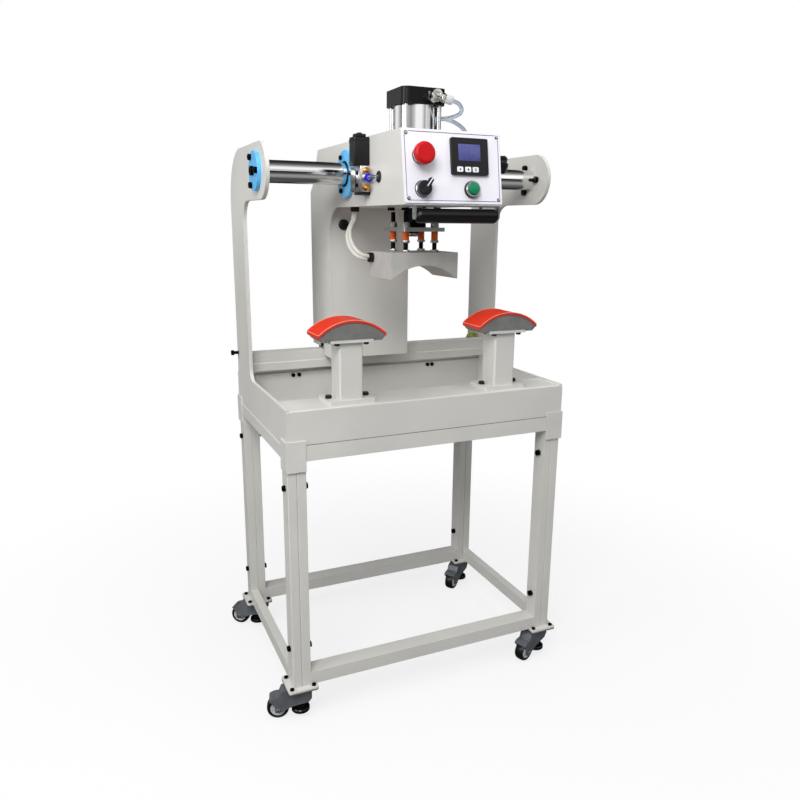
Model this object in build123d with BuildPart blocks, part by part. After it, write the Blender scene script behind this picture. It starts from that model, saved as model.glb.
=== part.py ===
from build123d import *
import os
from math import atan2, cos, degrees, radians, sin, sqrt, tan

os.makedirs("parts", exist_ok=True)

# Pneumatic cap heat press on a welded stand with castors. X runs across the press, Y from the
# operator (-Y) to the back, Z up. The origin is on the floor in the middle of the stand.
# All sizes are millimetres.

# ---- Fits -------------------------------------------------------------------------------------
running = 0.05          # radial clearance of a shaft in its bush
bolt_clear = 0.4        # radial clearance of a bolt in its hole
rub_gap = 0.3           # face-to-face gap between bodies that slide past each other

# ---- Stand ------------------------------------------------------------------------------------
stand_width = 670.0     # over the side frames
stand_depth = 454.0     # over the front and rear frames
stand_height = 553.0    # length of the legs
castor_height = 83.0    # floor to the underside of the legs
leg_width = 20.0        # every leg is a pair of 20 x 40 tubes side by side
leg_depth = 40.0
rail_height = 30.0
tube_wall = 1.5
tube_round = 2.0        # outer corners of the leg tubes
stand_bolt_inset = 91.0   # bolt axis from the stand's top
stand_bolt_low = 88.0     # bolt axis from the legs' lower end
plate_width = 68.0      # castor plate welded under each pair of legs
plate_depth = 70.0
plate_thick = 4.0
plate_corner = 6.0
plate_bolt_pitch = 50.0

stand_base = castor_height
stand_top = stand_base + stand_height
leg_x = stand_width / 2 - leg_width     # seam between the two tubes of a leg
leg_y = (stand_depth - leg_depth) / 2   # centre of a leg
stand_bolt_z = (stand_base + stand_bolt_low, stand_top - stand_bolt_inset)
legs = [(sx, sy) for sy in (-1, 1) for sx in (-1, 1)]

# ---- Fasteners ----------------------------------------------------------------------------------
m8 = 4.0                # shank radii
m6 = 3.0
m4 = 2.0
bolt_head = 1.6         # heads are this many shank radii across and high
socket_size = 0.95      # hexagon sockets, in shank radii
socket_depth = 0.55     # share of the head's height
nut_size = 1.85         # half across the corners, in shank radii
low_head = 4.0          # heads of the castor bolts
wide_nut = 8.0          # nut heights
thin_nut = 6.0
small_nut = 3.0

# ---- Tray and side plates ---------------------------------------------------------------------
tray_height = 78.0      # apron
tray_sheet = 2.0
tray_bend = 3.0
apron_lap = 5.0         # the apron's lower edge hangs this far over the frames
well_front = -136.0     # front edge of the well
well_back = 155.0       # rear wall of the well
well_floor = 5.0        # top of the well floor over the stand's top
skirt_width = 43.0      # corner skirts that drop over the stand
skirt_thick = 3.0
skirt_drop = 52.0
skirt_rise = 14.0
wall_bolt_x = (-211.0, -195.5, 167.0, 180.5)
wall_bolt_drop = 8.0    # bolt axis under the tray's top
wall_bolt_length = 6.0

side_thick = 8.0
side_back = 220.0       # rear edge of the uprights
foot_rise = 80.0        # foot of the side plate over the stand's top
upright_front = 88.0
head_bottom = 1127.0
head_height = 114.0
head_front = -136.0
foot_fillet = 28.0
neck_fillet = 44.0
head_radius = 120.0
nose_flat = 0.1         # half the flat left between the nose's two fillets
side_bolt_y = 208.0     # long bolt with a washer near the rear edge
side_bolt_z = 763.0
side_bolt_out = 12.0

tray_top = stand_top + tray_height
floor_z = stand_top + well_floor
plate_in = stand_width / 2 - side_thick  # inner faces of the side plates
apron_y = stand_depth / 2 + tray_sheet    # the apron laps over the frames

# ---- Rear beam ----------------------------------------------------------------------------------
beam_front = 133.0
beam_depth = 33.0
beam_bottom = 726.0
beam_height = 46.0
beam_crease = 19.0      # crease over the beam's lower edge
beam_step = 2.0
beam_wall = 3.0

beam_top = beam_bottom + beam_height

# ---- Guide tube ---------------------------------------------------------------------------------
tube_radius = 23.0
tube_thick = 4.0
tube_y = -60.0
tube_z = 1184.0
plug_length = 24.0
end_flange_radius = 39.5
end_flange_thick = 8.0
end_bolt_circle = 32.0
tie_radius = 6.0
tie_head = 7.0

# ---- Moulds -------------------------------------------------------------------------------------
mould_x = 186.0
press_y = -178.5        # moulds, platen and cylinder share this line
pad_width = 148.0
pad_depth = 80.0
pad_radius = 110.0
pad_thick = 5.0
pad_crown = 890.0
saddle_bottom = 850.0
saddle_foot = 110.0
saddle_depth = 76.0
post_width = 52.0
post_depth = 56.0
post_wall = 3.0
post_corner = 4.0
post_plate_width = 98.0
post_plate_depth = 74.0
post_plate_thick = 7.0
post_base_width = 104.0
post_base_depth = 75.0
post_base_thick = 8.0
post_bolt_x = 42.0
saddle_bolt_x = 36.0
saddle_thread = 10.0

# ---- Carriage -----------------------------------------------------------------------------------
arm_x = -34.0           # rest place of the carriage along the tube
arm_width = 205.0
arm_sheet = 4.0
arm_bottom = 1116.0
arm_top = 1250.0
arm_fillet = 60.0
panel_low_y = -360.0    # lower edge of the panel's face
panel_high_y = -340.0   # upper edge
panel_thick = 2.5
panel_lift = 3.0        # lower edge of the panel over the arm's underside
deck_thick = 6.0
cover_sheet = 2.0
panel_corner = 3.0
panel_screw = 8.0       # panel screws from its edges
strap_screw_x = 60.0
shoe_thread = 14.0
grommet_y = -236.0
grommet_z = push_in_z = 1170.0
grommet_radius = 9.0
column_front = 72.0
column_back = 215.0
column_bottom = 757.0
column_step_y = 128.0
column_step_z = 776.0
column_corner = 12.0
hip_low = (215.0, 1155.0)
hip_mid = (190.0, 1174.0)
hip_high = (150.0, 1250.0)
bush_radius = 49.5
bush_flange = 8.0
bush_sleeve_radius = 31.0
bush_sleeve = 34.0
bush_bolt_circle = 40.0
shoe_front = 118.0
shoe_back = 181.0
shoe_top = 795.0
shoe_bolt_y = 135.0
shoe_bolt_z = 783.0

arm_left = arm_x - arm_width / 2
arm_right = arm_x + arm_width / 2
arm_inner = arm_width / 2 - arm_sheet
arm_lean = degrees(atan2(panel_high_y - panel_low_y, arm_top - arm_bottom - panel_lift))

# ---- Cylinder and ram -----------------------------------------------------------------------------
cap_size = 95.0
cap_height = 31.0
cap_corner = 14.0
cap_clear = 2.0         # cover's hole around the bottom cap
cylinder_top = 1342.0
bore_radius = 40.0
barrel_wall = 4.0
tie_rod_pitch = 72.0
tie_rod_radius = 4.5
cap_recess = 3.0        # tie rods end this far under the top cap's face
elbow_x = -18.0
elbow_z = 1326.0
elbow_thread = 6.0
elbow_depth = 12.0
piston_thick = 24.0
rod_radius = 12.5
rod_clear = 3.0         # deck's hole around the rod
coupling_size = 23.0    # half across the corners
coupling_height = 26.0
hub_radius = 25.5
hub_height = 11.0
ram_plate_width = 93.0
ram_plate_depth = 110.0
ram_plate_z = 1066.0
ram_plate_thick = 8.0
ram_plate_corner = 4.0
stud_pitch_x = 66.0
stud_pitch_y = 65.0
stud_radius = 4.8
stud_top = 1105.0
stud_hold = 12.0        # thread length in the platen
nut_radius = 8.5        # nuts of the tie rods and the studs, half across the corners
ram_nut = 5.0
bushing_radius = 7.0
bushing_height = 18.0
platen_width = 152.0
platen_depth = 115.0
platen_top = 1024.0
platen_bottom = 970.0
platen_arch = 112.0
platen_span = 148.0
platen_cut = 1.0        # the arch's sketch reaches this far below the platen

barrel_z = (arm_bottom + deck_thick + cap_height, cylinder_top - cap_height)
platen_crown = platen_bottom + platen_arch - sqrt(platen_arch**2 - (platen_span / 2) ** 2)

# ---- Controls: places are measured on the panel's face from its centre -----------------------------
estop_at = (-68.0, 18.5)
estop_radius = 20.0
estop_travel = 5.0
estop_collar = 10.0     # bezel heights over the panel
estop_head = 12.0
estop_dome = 5.0
selector_at = (-66.0, -41.0)
selector_radius = 13.5
selector_collar = 6.0
selector_skirt = 7.0
selector_handle = 6.0
selector_lever = 9.0    # width of the lever
selector_reach = 21.0   # lever tip from the axis
selector_tail = 12.0    # lever's other end
selector_turn = 52.0    # lever from the horizontal, as set
start_at = (36.5, -40.0)
start_radius = 12.5
start_travel = 3.0
start_collar = 9.0
start_sunk = 7.0
start_cap = 9.0
bezel_radius = 15.0
stem_radius = 8.0
thread_radius = 11.0
stem_length = 30.0
bezel_chamfer = 1.0
controller_at = (33.0, 19.5)
controller_width = 78.0
controller_height = 67.0
controller_rim = 6.0
controller_depth = 60.0
controller_lip = 4.0    # rim overlap on the panel
controller_clear = 0.5
key_places = {"down": (-22.4, -24.0), "up": (-5.4, -24.0), "set": (10.7, -24.0)}
key_width = 12.4
key_height = 9.6
key_travel = 0.8
key_corner = 2.0
key_pocket = 5.0
screen_at = (-1.0, 7.0)
screen_width = 47.0
screen_height = 31.0
screen_sunk = 0.6
knob_radius = 19.0
knob_length = 31.0
knob_skirt = 6.0
knob_step = 2.0
knob_flute = 1.6
knob_y = -308.0
knob_z = 1196.0

# ---- Handle ---------------------------------------------------------------------------------------
grip_radius = 13.5
grip_y = -352.0
grip_z = 1096.5
grip_left = -112.0
grip_right = 62.0
bar_radius = 6.0
strap_depth = 14.0
strap_thick = 3.0
strap_head = 2.5        # low-head screws under the strap
grip_round = 10.0

# ---- Valve and air ----------------------------------------------------------------------------------
valve_back = -133.0
valve_front = -190.0
valve_low = 1143.0
valve_high = 1193.0
valve_out = 21.5
coil_back = -160.0
coil_front = -188.0
coil_out = 34.0
coil_height = 55.0
coil_cap_width = 22.0
coil_cap_depth = 18.0
coil_cap_height = 6.0
coil_corner = 3.0
valve_chamfer = 1.5
valve_foot = 6.0
valve_foot_out = 24.0
silencer_z = (1184.0, 1150.5)
silencer_radius = 5.5
silencer_hex = 6.5      # half across the corners
silencer_collar = 5.0
silencer_length = 15.0
push_in_radius = 8.0
push_in_length = 19.0
grommet_lip = 2.5
elbow_radius = 12.5
elbow_out = 14.0        # port face to the elbow arm's axis
elbow_arm = 8.0
elbow_reach = (34.0, -5.0, -9.0)
hose_radius = 4.0
hose_clear = 3.0
hose_inside = 12.0      # length of each hose that runs into the arm
bend_share = 0.45       # share of the shorter run that a bend takes up
cable_radius = 6.5
cable_lead = 13.0       # straight run out of the platen's gland
gland_radius = 10.0
gland_thread = 6.0
gland_depth = 10.0
gland_out = 10.0
web_gland_radius = 12.5
web_gland_x = -101.0
web_gland_z = 1077.0
cable_top = (-114.0, -41.0)
heater_y = -136.0
heater_z = 1011.0
hose_way = (58.0, -236.0)   # hose hole in the cover
port_thread = 7.0
port_radius = 4.05      # bulkhead port for an 8 mm air hose
port_length = 24.0
port_out = 14.0
port_flat = 11.0
port_x = -80.0
port_z = 900.0
mains_radius = 4.0
mains_z = 860.0

# ---- Castors ----------------------------------------------------------------------------------------
trail = 50.0
wheel_radius = 25.0
wheel_width = 23.0
axle_radius = 3.0
fork_cheek = 4.0
fork_gap = 0.6
castor_plate = 3.0
fork_nose = 7.0         # cheek ahead of and behind the axle
fork_hood = 7.0         # hood's end behind the axle
fork_waist = 7.0        # cheek's taper under the swivelling head
fork_low = 18.0         # cheek outline, heights over the floor
fork_high = 32.0
fork_throat = 31.0
fork_tail = 40.0
fork_back = 50.0
fork_brow = 68.0
fork_round = 3.0
guard_from = 50.0       # the guard's arc over the wheel, degrees from the horizontal
guard_to = 130.0
kingpin_radius = 6.0
kingpin_length = 14.0
foot_radius = 20.5
foot_clear = 14.0       # foot pad over the floor while the press rolls
foot_stem = 5.0
foot_pad = 8.0
foot_bevel = 2.0
foot_length = 42.0
foot_bore = 60.0        # top of the foot's bore over the floor
foot_neck = 1.0
thumb_radius = 13.0
thumb_height = 5.0
thumb_flute = 1.5
head_reach = 26.0       # castor body ahead of and behind the kingpin
wheel_clear = 2.0
guard_thick = 3.0
tread_round = 3.0
hub_recess = 17.0
hub_boss = 7.0
hub_sunk = 2.0
castor_turn = {(-1, -1): 164.0, (-1, 1): 142.0, (1, -1): -159.0, (1, 1): -145.0}
castor_name = {(-1, -1): "front_left", (1, -1): "front_right",
               (-1, 1): "rear_left", (1, 1): "rear_right"}


def save(piece, name):
    """Label a finished piece and write it to its own file."""
    piece.part.label = name
    export_step(piece.part, f"parts/{name}.step")


def corner(sketch, x, y):
    """Vertex of a sketch nearest to a point of its plane."""
    return sketch.vertices().sort_by_distance((x, y, 0))[0]


def bolt(shank, length, head_radius=None, head=None):
    """Socket-head bolt: the head stands on the XY plane and the shank goes down from it."""
    head_radius = head_radius or shank * bolt_head
    head = head or shank * bolt_head
    with BuildPart() as screw:
        with BuildSketch():
            Circle(head_radius)
        extrude(amount=head)
        chamfer(screw.edges().sort_by(Axis.Z)[-1], shank * 0.2)
        with BuildSketch(Plane.XY.offset(head)):
            RegularPolygon(shank * socket_size, 6)
        extrude(amount=-head * socket_depth, mode=Mode.SUBTRACT)
        with BuildSketch():
            Circle(shank)
        extrude(amount=-length)
    return screw.part


def nut(shank, height):
    """Hexagon nut standing on the XY plane, threaded on a shank of this radius."""
    with BuildPart() as hexagon:
        with BuildSketch():
            RegularPolygon(shank * nut_size, 6)
            Circle(shank, mode=Mode.SUBTRACT)
        extrude(amount=height)
    return hexagon.part


def facing(x, y, z, direction):
    """Plane at a point whose normal points along a direction."""
    return Plane(origin=(x, y, z), z_dir=direction)


# ---- Stand frames -----------------------------------------------------------------------------------

def leg_edges(frame):
    """The long upright edges of a frame's legs."""
    return frame.edges().filter_by(Axis.Z).filter_by(lambda edge: edge.length > stand_height - rail_height)


def side_frame(side):
    """Side frame: two legs, two rails and a castor plate under each leg, welded together."""
    x = side * (stand_width - leg_width) / 2
    middle = Plane.YZ.offset(x)
    centre_z = (stand_base + stand_top) / 2
    rail_z = [stand_base + rail_height / 2, stand_top - rail_height / 2]
    with BuildPart() as frame:
        with BuildSketch(middle):
            with Locations((0, centre_z)):
                Rectangle(stand_depth, stand_height)
                Rectangle(stand_depth - 2 * leg_depth, stand_height - 2 * rail_height,
                          mode=Mode.SUBTRACT)
        extrude(amount=leg_width / 2, both=True)
        fillet(leg_edges(frame), tube_round)
        with BuildSketch(middle):
            with Locations((-leg_y, centre_z), (leg_y, centre_z)):
                Rectangle(leg_depth - 2 * tube_wall, stand_height)
            with Locations(*[(0, z) for z in rail_z]):
                Rectangle(2 * leg_y, rail_height - 2 * tube_wall)
        extrude(amount=leg_width / 2 - tube_wall, both=True, mode=Mode.SUBTRACT)
        with BuildSketch(middle):
            with Locations(*[(sy * leg_y, z) for sy in (-1, 1) for z in stand_bolt_z]):
                Circle(m8 + bolt_clear)
        extrude(amount=leg_width, both=True, mode=Mode.SUBTRACT)
        with BuildSketch(Plane.XY.offset(stand_base)):
            with Locations((side * leg_x, -leg_y), (side * leg_x, leg_y)):
                RectangleRounded(plate_width, plate_depth, plate_corner)
        extrude(amount=-plate_thick)
        with BuildSketch(Plane.XY.offset(stand_base)):
            with Locations((side * leg_x, -leg_y), (side * leg_x, leg_y)):
                with GridLocations(plate_bolt_pitch, plate_bolt_pitch, 2, 2):
                    Circle(m6 + bolt_clear)
        extrude(amount=-plate_thick, mode=Mode.SUBTRACT)
    return frame


def cross_frame(end):
    """Front or rear frame: two legs inside those of the side frames, joined by two rails."""
    middle = Plane.XZ.offset(-end * leg_y)
    centre_z = (stand_base + stand_top) / 2
    rail_z = [stand_base + rail_height / 2, stand_top - rail_height / 2]
    with BuildPart() as frame:
        with BuildSketch(middle):
            with Locations((0, centre_z)):
                Rectangle(2 * leg_x, stand_height)
                Rectangle(2 * (leg_x - leg_width), stand_height - 2 * rail_height,
                          mode=Mode.SUBTRACT)
        extrude(amount=leg_depth / 2, both=True)
        fillet(leg_edges(frame), tube_round)
        with BuildSketch(middle):
            with Locations(*[(s * (leg_x - leg_width / 2), centre_z) for s in (-1, 1)]):
                Rectangle(leg_width - 2 * tube_wall, stand_height)
            with Locations(*[(0, z) for z in rail_z]):
                Rectangle(2 * leg_x - leg_width, rail_height - 2 * tube_wall)
        extrude(amount=leg_depth / 2 - tube_wall, both=True, mode=Mode.SUBTRACT)
        with BuildSketch(Plane.YZ):
            with Locations(*[(end * leg_y, z) for z in stand_bolt_z]):
                Circle(m8 + bolt_clear)
        extrude(amount=stand_width, both=True, mode=Mode.SUBTRACT)
    return frame


left_side_frame = side_frame(-1)
save(left_side_frame, "left_side_frame")
right_side_frame = side_frame(1)
save(right_side_frame, "right_side_frame")
front_frame = cross_frame(-1)
save(front_frame, "front_frame")
rear_frame = cross_frame(1)
save(rear_frame, "rear_frame")

# ---- Side plates ------------------------------------------------------------------------------------


def side_plate(side):
    """Upright, foot and tube head cut from one plate."""
    inner = Plane.YZ.offset(side * plate_in)
    head_top = head_bottom + head_height
    front = -apron_y + tray_sheet
    with BuildPart() as plate:
        with BuildSketch(inner) as outline:
            with BuildLine():
                Polyline((front, stand_top), (front, stand_top + foot_rise),
                         (upright_front, stand_top + foot_rise), (upright_front, head_bottom),
                         (head_front, head_bottom), (head_front, head_top),
                         (side_back, head_top), (side_back, stand_top), close=True)
            make_face()
            fillet(corner(outline, upright_front, stand_top + foot_rise), foot_fillet)
            fillet(corner(outline, upright_front, head_bottom), neck_fillet)
            fillet(corner(outline, side_back, head_top), head_radius)
            nose = [corner(outline, head_front, z) for z in (head_bottom, head_top)]
            fillet(nose, head_height / 2 - nose_flat)
        extrude(amount=side * side_thick)
        with BuildSketch(inner):
            with Locations((tube_y, tube_z)):
                Circle(tie_radius + bolt_clear)
                with PolarLocations(end_bolt_circle, 3, start_angle=180):
                    Circle(m8 + bolt_clear)
            with Locations((side_bolt_y, side_bolt_z)):
                Circle(m8 + bolt_clear)
        extrude(amount=side * side_thick, mode=Mode.SUBTRACT)
    return plate


left_side_plate = side_plate(-1)
save(left_side_plate, "left_side_plate")
right_side_plate = side_plate(1)
save(right_side_plate, "right_side_plate")

# ---- Base tray: one folded sheet, with corner skirts that drop over the stand --------------------------

with BuildPart() as base_tray:
    with BuildSketch(Plane.YZ) as fold:
        with BuildLine():
            FilletPolyline((-apron_y, stand_top - apron_lap), (-apron_y, tray_top), (well_front, tray_top),
                           (well_front, floor_z), (well_back, floor_z), (well_back, tray_top),
                           (apron_y, tray_top), (apron_y, stand_top - apron_lap), radius=tray_bend)
            offset(amount=tray_sheet, side=Side.RIGHT)
        make_face()
    extrude(amount=plate_in, both=True)
    for side in (-1, 1):
        for end in (-1, 1):
            with BuildSketch(Plane.XY.offset(stand_top - apron_lap)):
                with Locations((side * (plate_in + side_thick / 2),
                                end * (apron_y - tray_sheet / 2))):
                    Rectangle(side_thick, tray_sheet)
            extrude(amount=tray_height + apron_lap - tray_bend)
            with BuildSketch(Plane.XY.offset(stand_top - skirt_drop)):
                outer_x = side * (stand_width / 2 + skirt_thick)
                outer_y = end * (apron_y + skirt_thick)
                with BuildLine():
                    Polyline((outer_x, outer_y), (outer_x - side * skirt_width, outer_y),
                             (outer_x - side * skirt_width, end * stand_depth / 2),
                             (side * stand_width / 2, end * stand_depth / 2),
                             (side * stand_width / 2, outer_y - end * skirt_width),
                             (outer_x, outer_y - end * skirt_width), close=True)
                make_face()
            extrude(amount=skirt_drop + skirt_rise)
    with BuildSketch(Plane.XZ.offset(-well_back)):
        with Locations(*[(x, tray_top - wall_bolt_drop) for x in wall_bolt_x]):
            Circle(m6 + bolt_clear)
    extrude(amount=tray_sheet, both=True, mode=Mode.SUBTRACT)
save(base_tray, "base_tray")

# ---- Rear beam: box section with a stepped front face --------------------------------------------------

with BuildPart() as rear_beam:
    with BuildSketch(Plane.YZ) as section:
        with BuildLine():
            Polyline((beam_front - beam_step, beam_bottom),
                     (beam_front - beam_step, beam_bottom + beam_crease),
                     (beam_front, beam_bottom + beam_crease + beam_step), (beam_front, beam_top),
                     (beam_front + beam_depth, beam_top), (beam_front + beam_depth, beam_bottom),
                     close=True)
        make_face()
        offset(amount=-beam_wall, mode=Mode.SUBTRACT)
    extrude(amount=plate_in, both=True)
save(rear_beam, "rear_beam")

# ---- Guide tube and its end flanges ------------------------------------------------------------------

tube_plane = Plane(origin=(0, tube_y, tube_z), x_dir=(0, 1, 0), z_dir=(1, 0, 0))

with BuildPart() as guide_tube:
    with BuildSketch(tube_plane):
        Circle(tube_radius)
        Circle(tube_radius - tube_thick, mode=Mode.SUBTRACT)
    extrude(amount=plate_in, both=True)
    for side in (-1, 1):
        with BuildSketch(tube_plane.offset(side * plate_in)):
            Circle(tube_radius)
            Circle(tie_radius, mode=Mode.SUBTRACT)
        extrude(amount=-side * plug_length)
save(guide_tube, "guide_tube")

with BuildPart() as end_flanges:
    for side in (-1, 1):
        with BuildSketch(tube_plane.offset(side * stand_width / 2)):
            Circle(end_flange_radius)
            Circle(tie_radius + bolt_clear, mode=Mode.SUBTRACT)
            with PolarLocations(end_bolt_circle, 3, start_angle=180):
                Circle(m8 + bolt_clear, mode=Mode.SUBTRACT)
        extrude(amount=side * end_flange_thick)
save(end_flanges, "end_flanges")

# ---- Moulds: post, saddle and silicone pad at each end of the tray -------------------------------------


def arch(radius, span, crown, base):
    """Face with a round top of this radius and crown height, cut square at the span."""
    shoulder = crown - radius + sqrt(radius**2 - (span / 2) ** 2)
    with BuildSketch() as face:
        with BuildLine():
            ThreePointArc((-span / 2, shoulder), (0, crown), (span / 2, shoulder))
            Polyline((span / 2, shoulder), (span / 2, base), (-span / 2, base),
                     (-span / 2, shoulder))
        make_face()
    return face.sketch


saddle_radius = pad_radius - pad_thick
saddle_crown = pad_crown - pad_thick
saddle_shoulder = saddle_crown - saddle_radius + sqrt(saddle_radius**2 - (pad_width / 2) ** 2)


def mould_plane(side):
    """Upright plane across the press through the middle of a mould."""
    return Plane(origin=(side * mould_x, press_y, 0), x_dir=(1, 0, 0), z_dir=(0, -1, 0))


with BuildPart() as mould_pads:
    for side in (-1, 1):
        with BuildSketch(mould_plane(side)):
            add(arch(pad_radius, pad_width, pad_crown, saddle_bottom))
            add(arch(saddle_radius, pad_width, saddle_crown, 0), mode=Mode.SUBTRACT)
        extrude(amount=pad_depth / 2, both=True)
save(mould_pads, "mould_pads")

with BuildPart() as mould_saddles:
    for side in (-1, 1):
        with BuildSketch(mould_plane(side)):
            add(arch(saddle_radius, pad_width, saddle_crown, saddle_bottom))
            # Both ends are undercut to the narrower foot.
            for s in (-1, 1):
                with BuildLine():
                    Polyline((s * saddle_foot / 2, saddle_bottom), (s * pad_width / 2, saddle_bottom),
                             (s * pad_width / 2, saddle_shoulder), close=True)
                make_face(mode=Mode.SUBTRACT)
        extrude(amount=saddle_depth / 2, both=True)
        with BuildSketch(Plane.XY.offset(saddle_bottom)):
            with Locations(*[(side * mould_x + s * saddle_bolt_x, press_y) for s in (-1, 1)]):
                Circle(m6)
        extrude(amount=saddle_thread, mode=Mode.SUBTRACT)
save(mould_saddles, "mould_saddles")

with BuildPart() as mould_posts:
    for side in (-1, 1):
        x = side * mould_x
        post_top = saddle_bottom - post_plate_thick
        with BuildSketch(Plane.XY.offset(tray_top)):
            with Locations((x, press_y)):
                RectangleRounded(post_base_width, post_base_depth, post_corner)
            with Locations(*[(x + s * post_bolt_x, press_y) for s in (-1, 1)]):
                Circle(m6 + bolt_clear, mode=Mode.SUBTRACT)
        extrude(amount=post_base_thick)
        with BuildSketch(Plane.XY.offset(tray_top)):
            with Locations((x, press_y)):
                RectangleRounded(post_width, post_depth, post_corner)
        extrude(amount=saddle_bottom - tray_top)
        with BuildSketch(Plane.XY.offset(post_top)):
            with Locations((x, press_y)):
                RectangleRounded(post_plate_width, post_plate_depth, post_corner)
            with Locations(*[(x + s * saddle_bolt_x, press_y) for s in (-1, 1)]):
                Circle(m6 + bolt_clear, mode=Mode.SUBTRACT)
        extrude(amount=post_plate_thick)
        with BuildSketch(Plane.XY.offset(tray_top)):
            with Locations((x, press_y)):
                Rectangle(post_width - 2 * post_wall, post_depth - 2 * post_wall)
        extrude(amount=post_top - tray_top, mode=Mode.SUBTRACT)
save(mould_posts, "mould_posts")

# ---- Bolts of the stand, the tray, the tube and the moulds -----------------------------------------------

with BuildPart() as frame_bolts:
    stand_grip = 2 * leg_width
    through = bolt(m8, stand_grip + wide_nut)
    stand_nut = nut(m8, wide_nut)
    for side in (-1, 1):
        out = (side, 0, 0)
        for y in (-leg_y, leg_y):
            for z in stand_bolt_z:
                with Locations(facing(side * stand_width / 2, y, z, out)):
                    add(through)
                with Locations(facing(side * (leg_x - leg_width), y, z, (-side, 0, 0))):
                    add(stand_nut)
        # Tie bolt and three flange bolts hold each end of the guide tube.
        flange_face = side * (stand_width / 2 + end_flange_thick)
        with Locations(facing(flange_face, tube_y, tube_z, out)):
            add(bolt(tie_radius, end_flange_thick + side_thick + plug_length, head=tie_head))
        for angle in (180, 300, 60):
            y = tube_y + end_bolt_circle * cos(radians(angle))
            z = tube_z + end_bolt_circle * sin(radians(angle))
            with Locations(facing(flange_face, y, z, out)):
                add(bolt(m8, end_flange_thick + side_thick + wide_nut))
            with Locations(facing(side * plate_in, y, z, (-side, 0, 0))):
                add(nut(m8, wide_nut))
        with Locations(facing(side * (stand_width / 2 + side_bolt_out), side_bolt_y, side_bolt_z, out)):
            add(bolt(m8, side_bolt_out + side_thick + wide_nut))
        with Locations(facing(side * plate_in, side_bolt_y, side_bolt_z, (-side, 0, 0))):
            add(nut(m8, wide_nut))
        for s in (-1, 1):
            x = side * mould_x
            with Locations(facing(x + s * post_bolt_x, press_y, tray_top + post_base_thick, (0, 0, 1))):
                add(bolt(m6, post_base_thick))
            z = saddle_bottom - post_plate_thick
            with Locations(facing(x + s * saddle_bolt_x, press_y, z, (0, 0, -1))):
                add(bolt(m6, post_plate_thick + saddle_thread))
    for x in wall_bolt_x:
        with Locations(facing(x, well_back, tray_top - wall_bolt_drop, (0, -1, 0))):
            add(bolt(m6, wall_bolt_length))
    for sx, sy in legs:
        for dx in (-1, 1):
            for dy in (-1, 1):
                x = sx * leg_x + dx * plate_bolt_pitch / 2
                y = sy * leg_y + dy * plate_bolt_pitch / 2
                with Locations((x, y, stand_base)):
                    add(bolt(m6, plate_thick + castor_plate, head=low_head))
save(frame_bolts, "frame_bolts")

# ---- Carriage: two side plates, one folded web and deck, a cover and the panel ------------------------

panel_foot = (panel_low_y, arm_bottom + panel_lift)
panel_out = (0.0, -cos(radians(arm_lean)), sin(radians(arm_lean)))
panel_tall = (arm_top - arm_bottom - panel_lift) / cos(radians(arm_lean))
panel_face = Plane(origin=(arm_x, (panel_low_y + panel_high_y) / 2, (panel_foot[1] + arm_top) / 2),
                   x_dir=(1, 0, 0), z_dir=panel_out)
panel_back = panel_thick / cos(radians(arm_lean))
arm_front_top = panel_high_y + panel_back
arm_front_low = arm_front_top - (arm_top - arm_bottom) * tan(radians(arm_lean))


def side_outline():
    """Outline of the carriage's side plates: the arm in front and the column behind."""
    with BuildSketch() as outline:
        with BuildLine():
            Polyline((arm_front_low, arm_bottom), (arm_front_top, arm_top), hip_high, hip_mid, hip_low,
                     (column_back, column_step_z), (column_step_y, column_step_z),
                     (column_step_y, column_bottom), (column_front, column_bottom),
                     (column_front, arm_bottom), close=True)
        make_face()
        fillet(corner(outline, column_front, arm_bottom), arm_fillet)
        fillet(corner(outline, column_step_y, column_bottom), column_corner)
        fillet(corner(outline, *hip_mid), arm_fillet)
    return outline.sketch


def carriage_plate(side):
    """One side plate, bored for the slide bush, with holes for whatever is fixed through it."""
    inner = Plane.YZ.offset(arm_x + side * arm_inner)
    with BuildPart() as plate:
        with BuildSketch(inner):
            add(side_outline())
            with Locations((tube_y, tube_z)):
                Circle(bush_sleeve_radius, mode=Mode.SUBTRACT)
                with PolarLocations(bush_bolt_circle, 3, start_angle=180):
                    Circle(m6 + bolt_clear, mode=Mode.SUBTRACT)
            with Locations((shoe_bolt_y, shoe_bolt_z)):
                Circle(m6 + bolt_clear, mode=Mode.SUBTRACT)
            if side < 0:
                with Locations((grommet_y, grommet_z)):
                    Circle(grommet_radius, mode=Mode.SUBTRACT)
            else:
                with Locations((knob_y, knob_z)):
                    Circle(stem_radius, mode=Mode.SUBTRACT)
        extrude(amount=side * arm_sheet)
    return plate


carriage_left_plate = carriage_plate(-1)
save(carriage_left_plate, "carriage_left_plate")
carriage_right_plate = carriage_plate(1)
save(carriage_right_plate, "carriage_right_plate")

tie_rods = [(arm_x + sx * tie_rod_pitch / 2, press_y + sy * tie_rod_pitch / 2) for sx, sy in legs]
strap_screws = [(arm_x + s * strap_screw_x, grip_y) for s in (-1, 1)]

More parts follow.
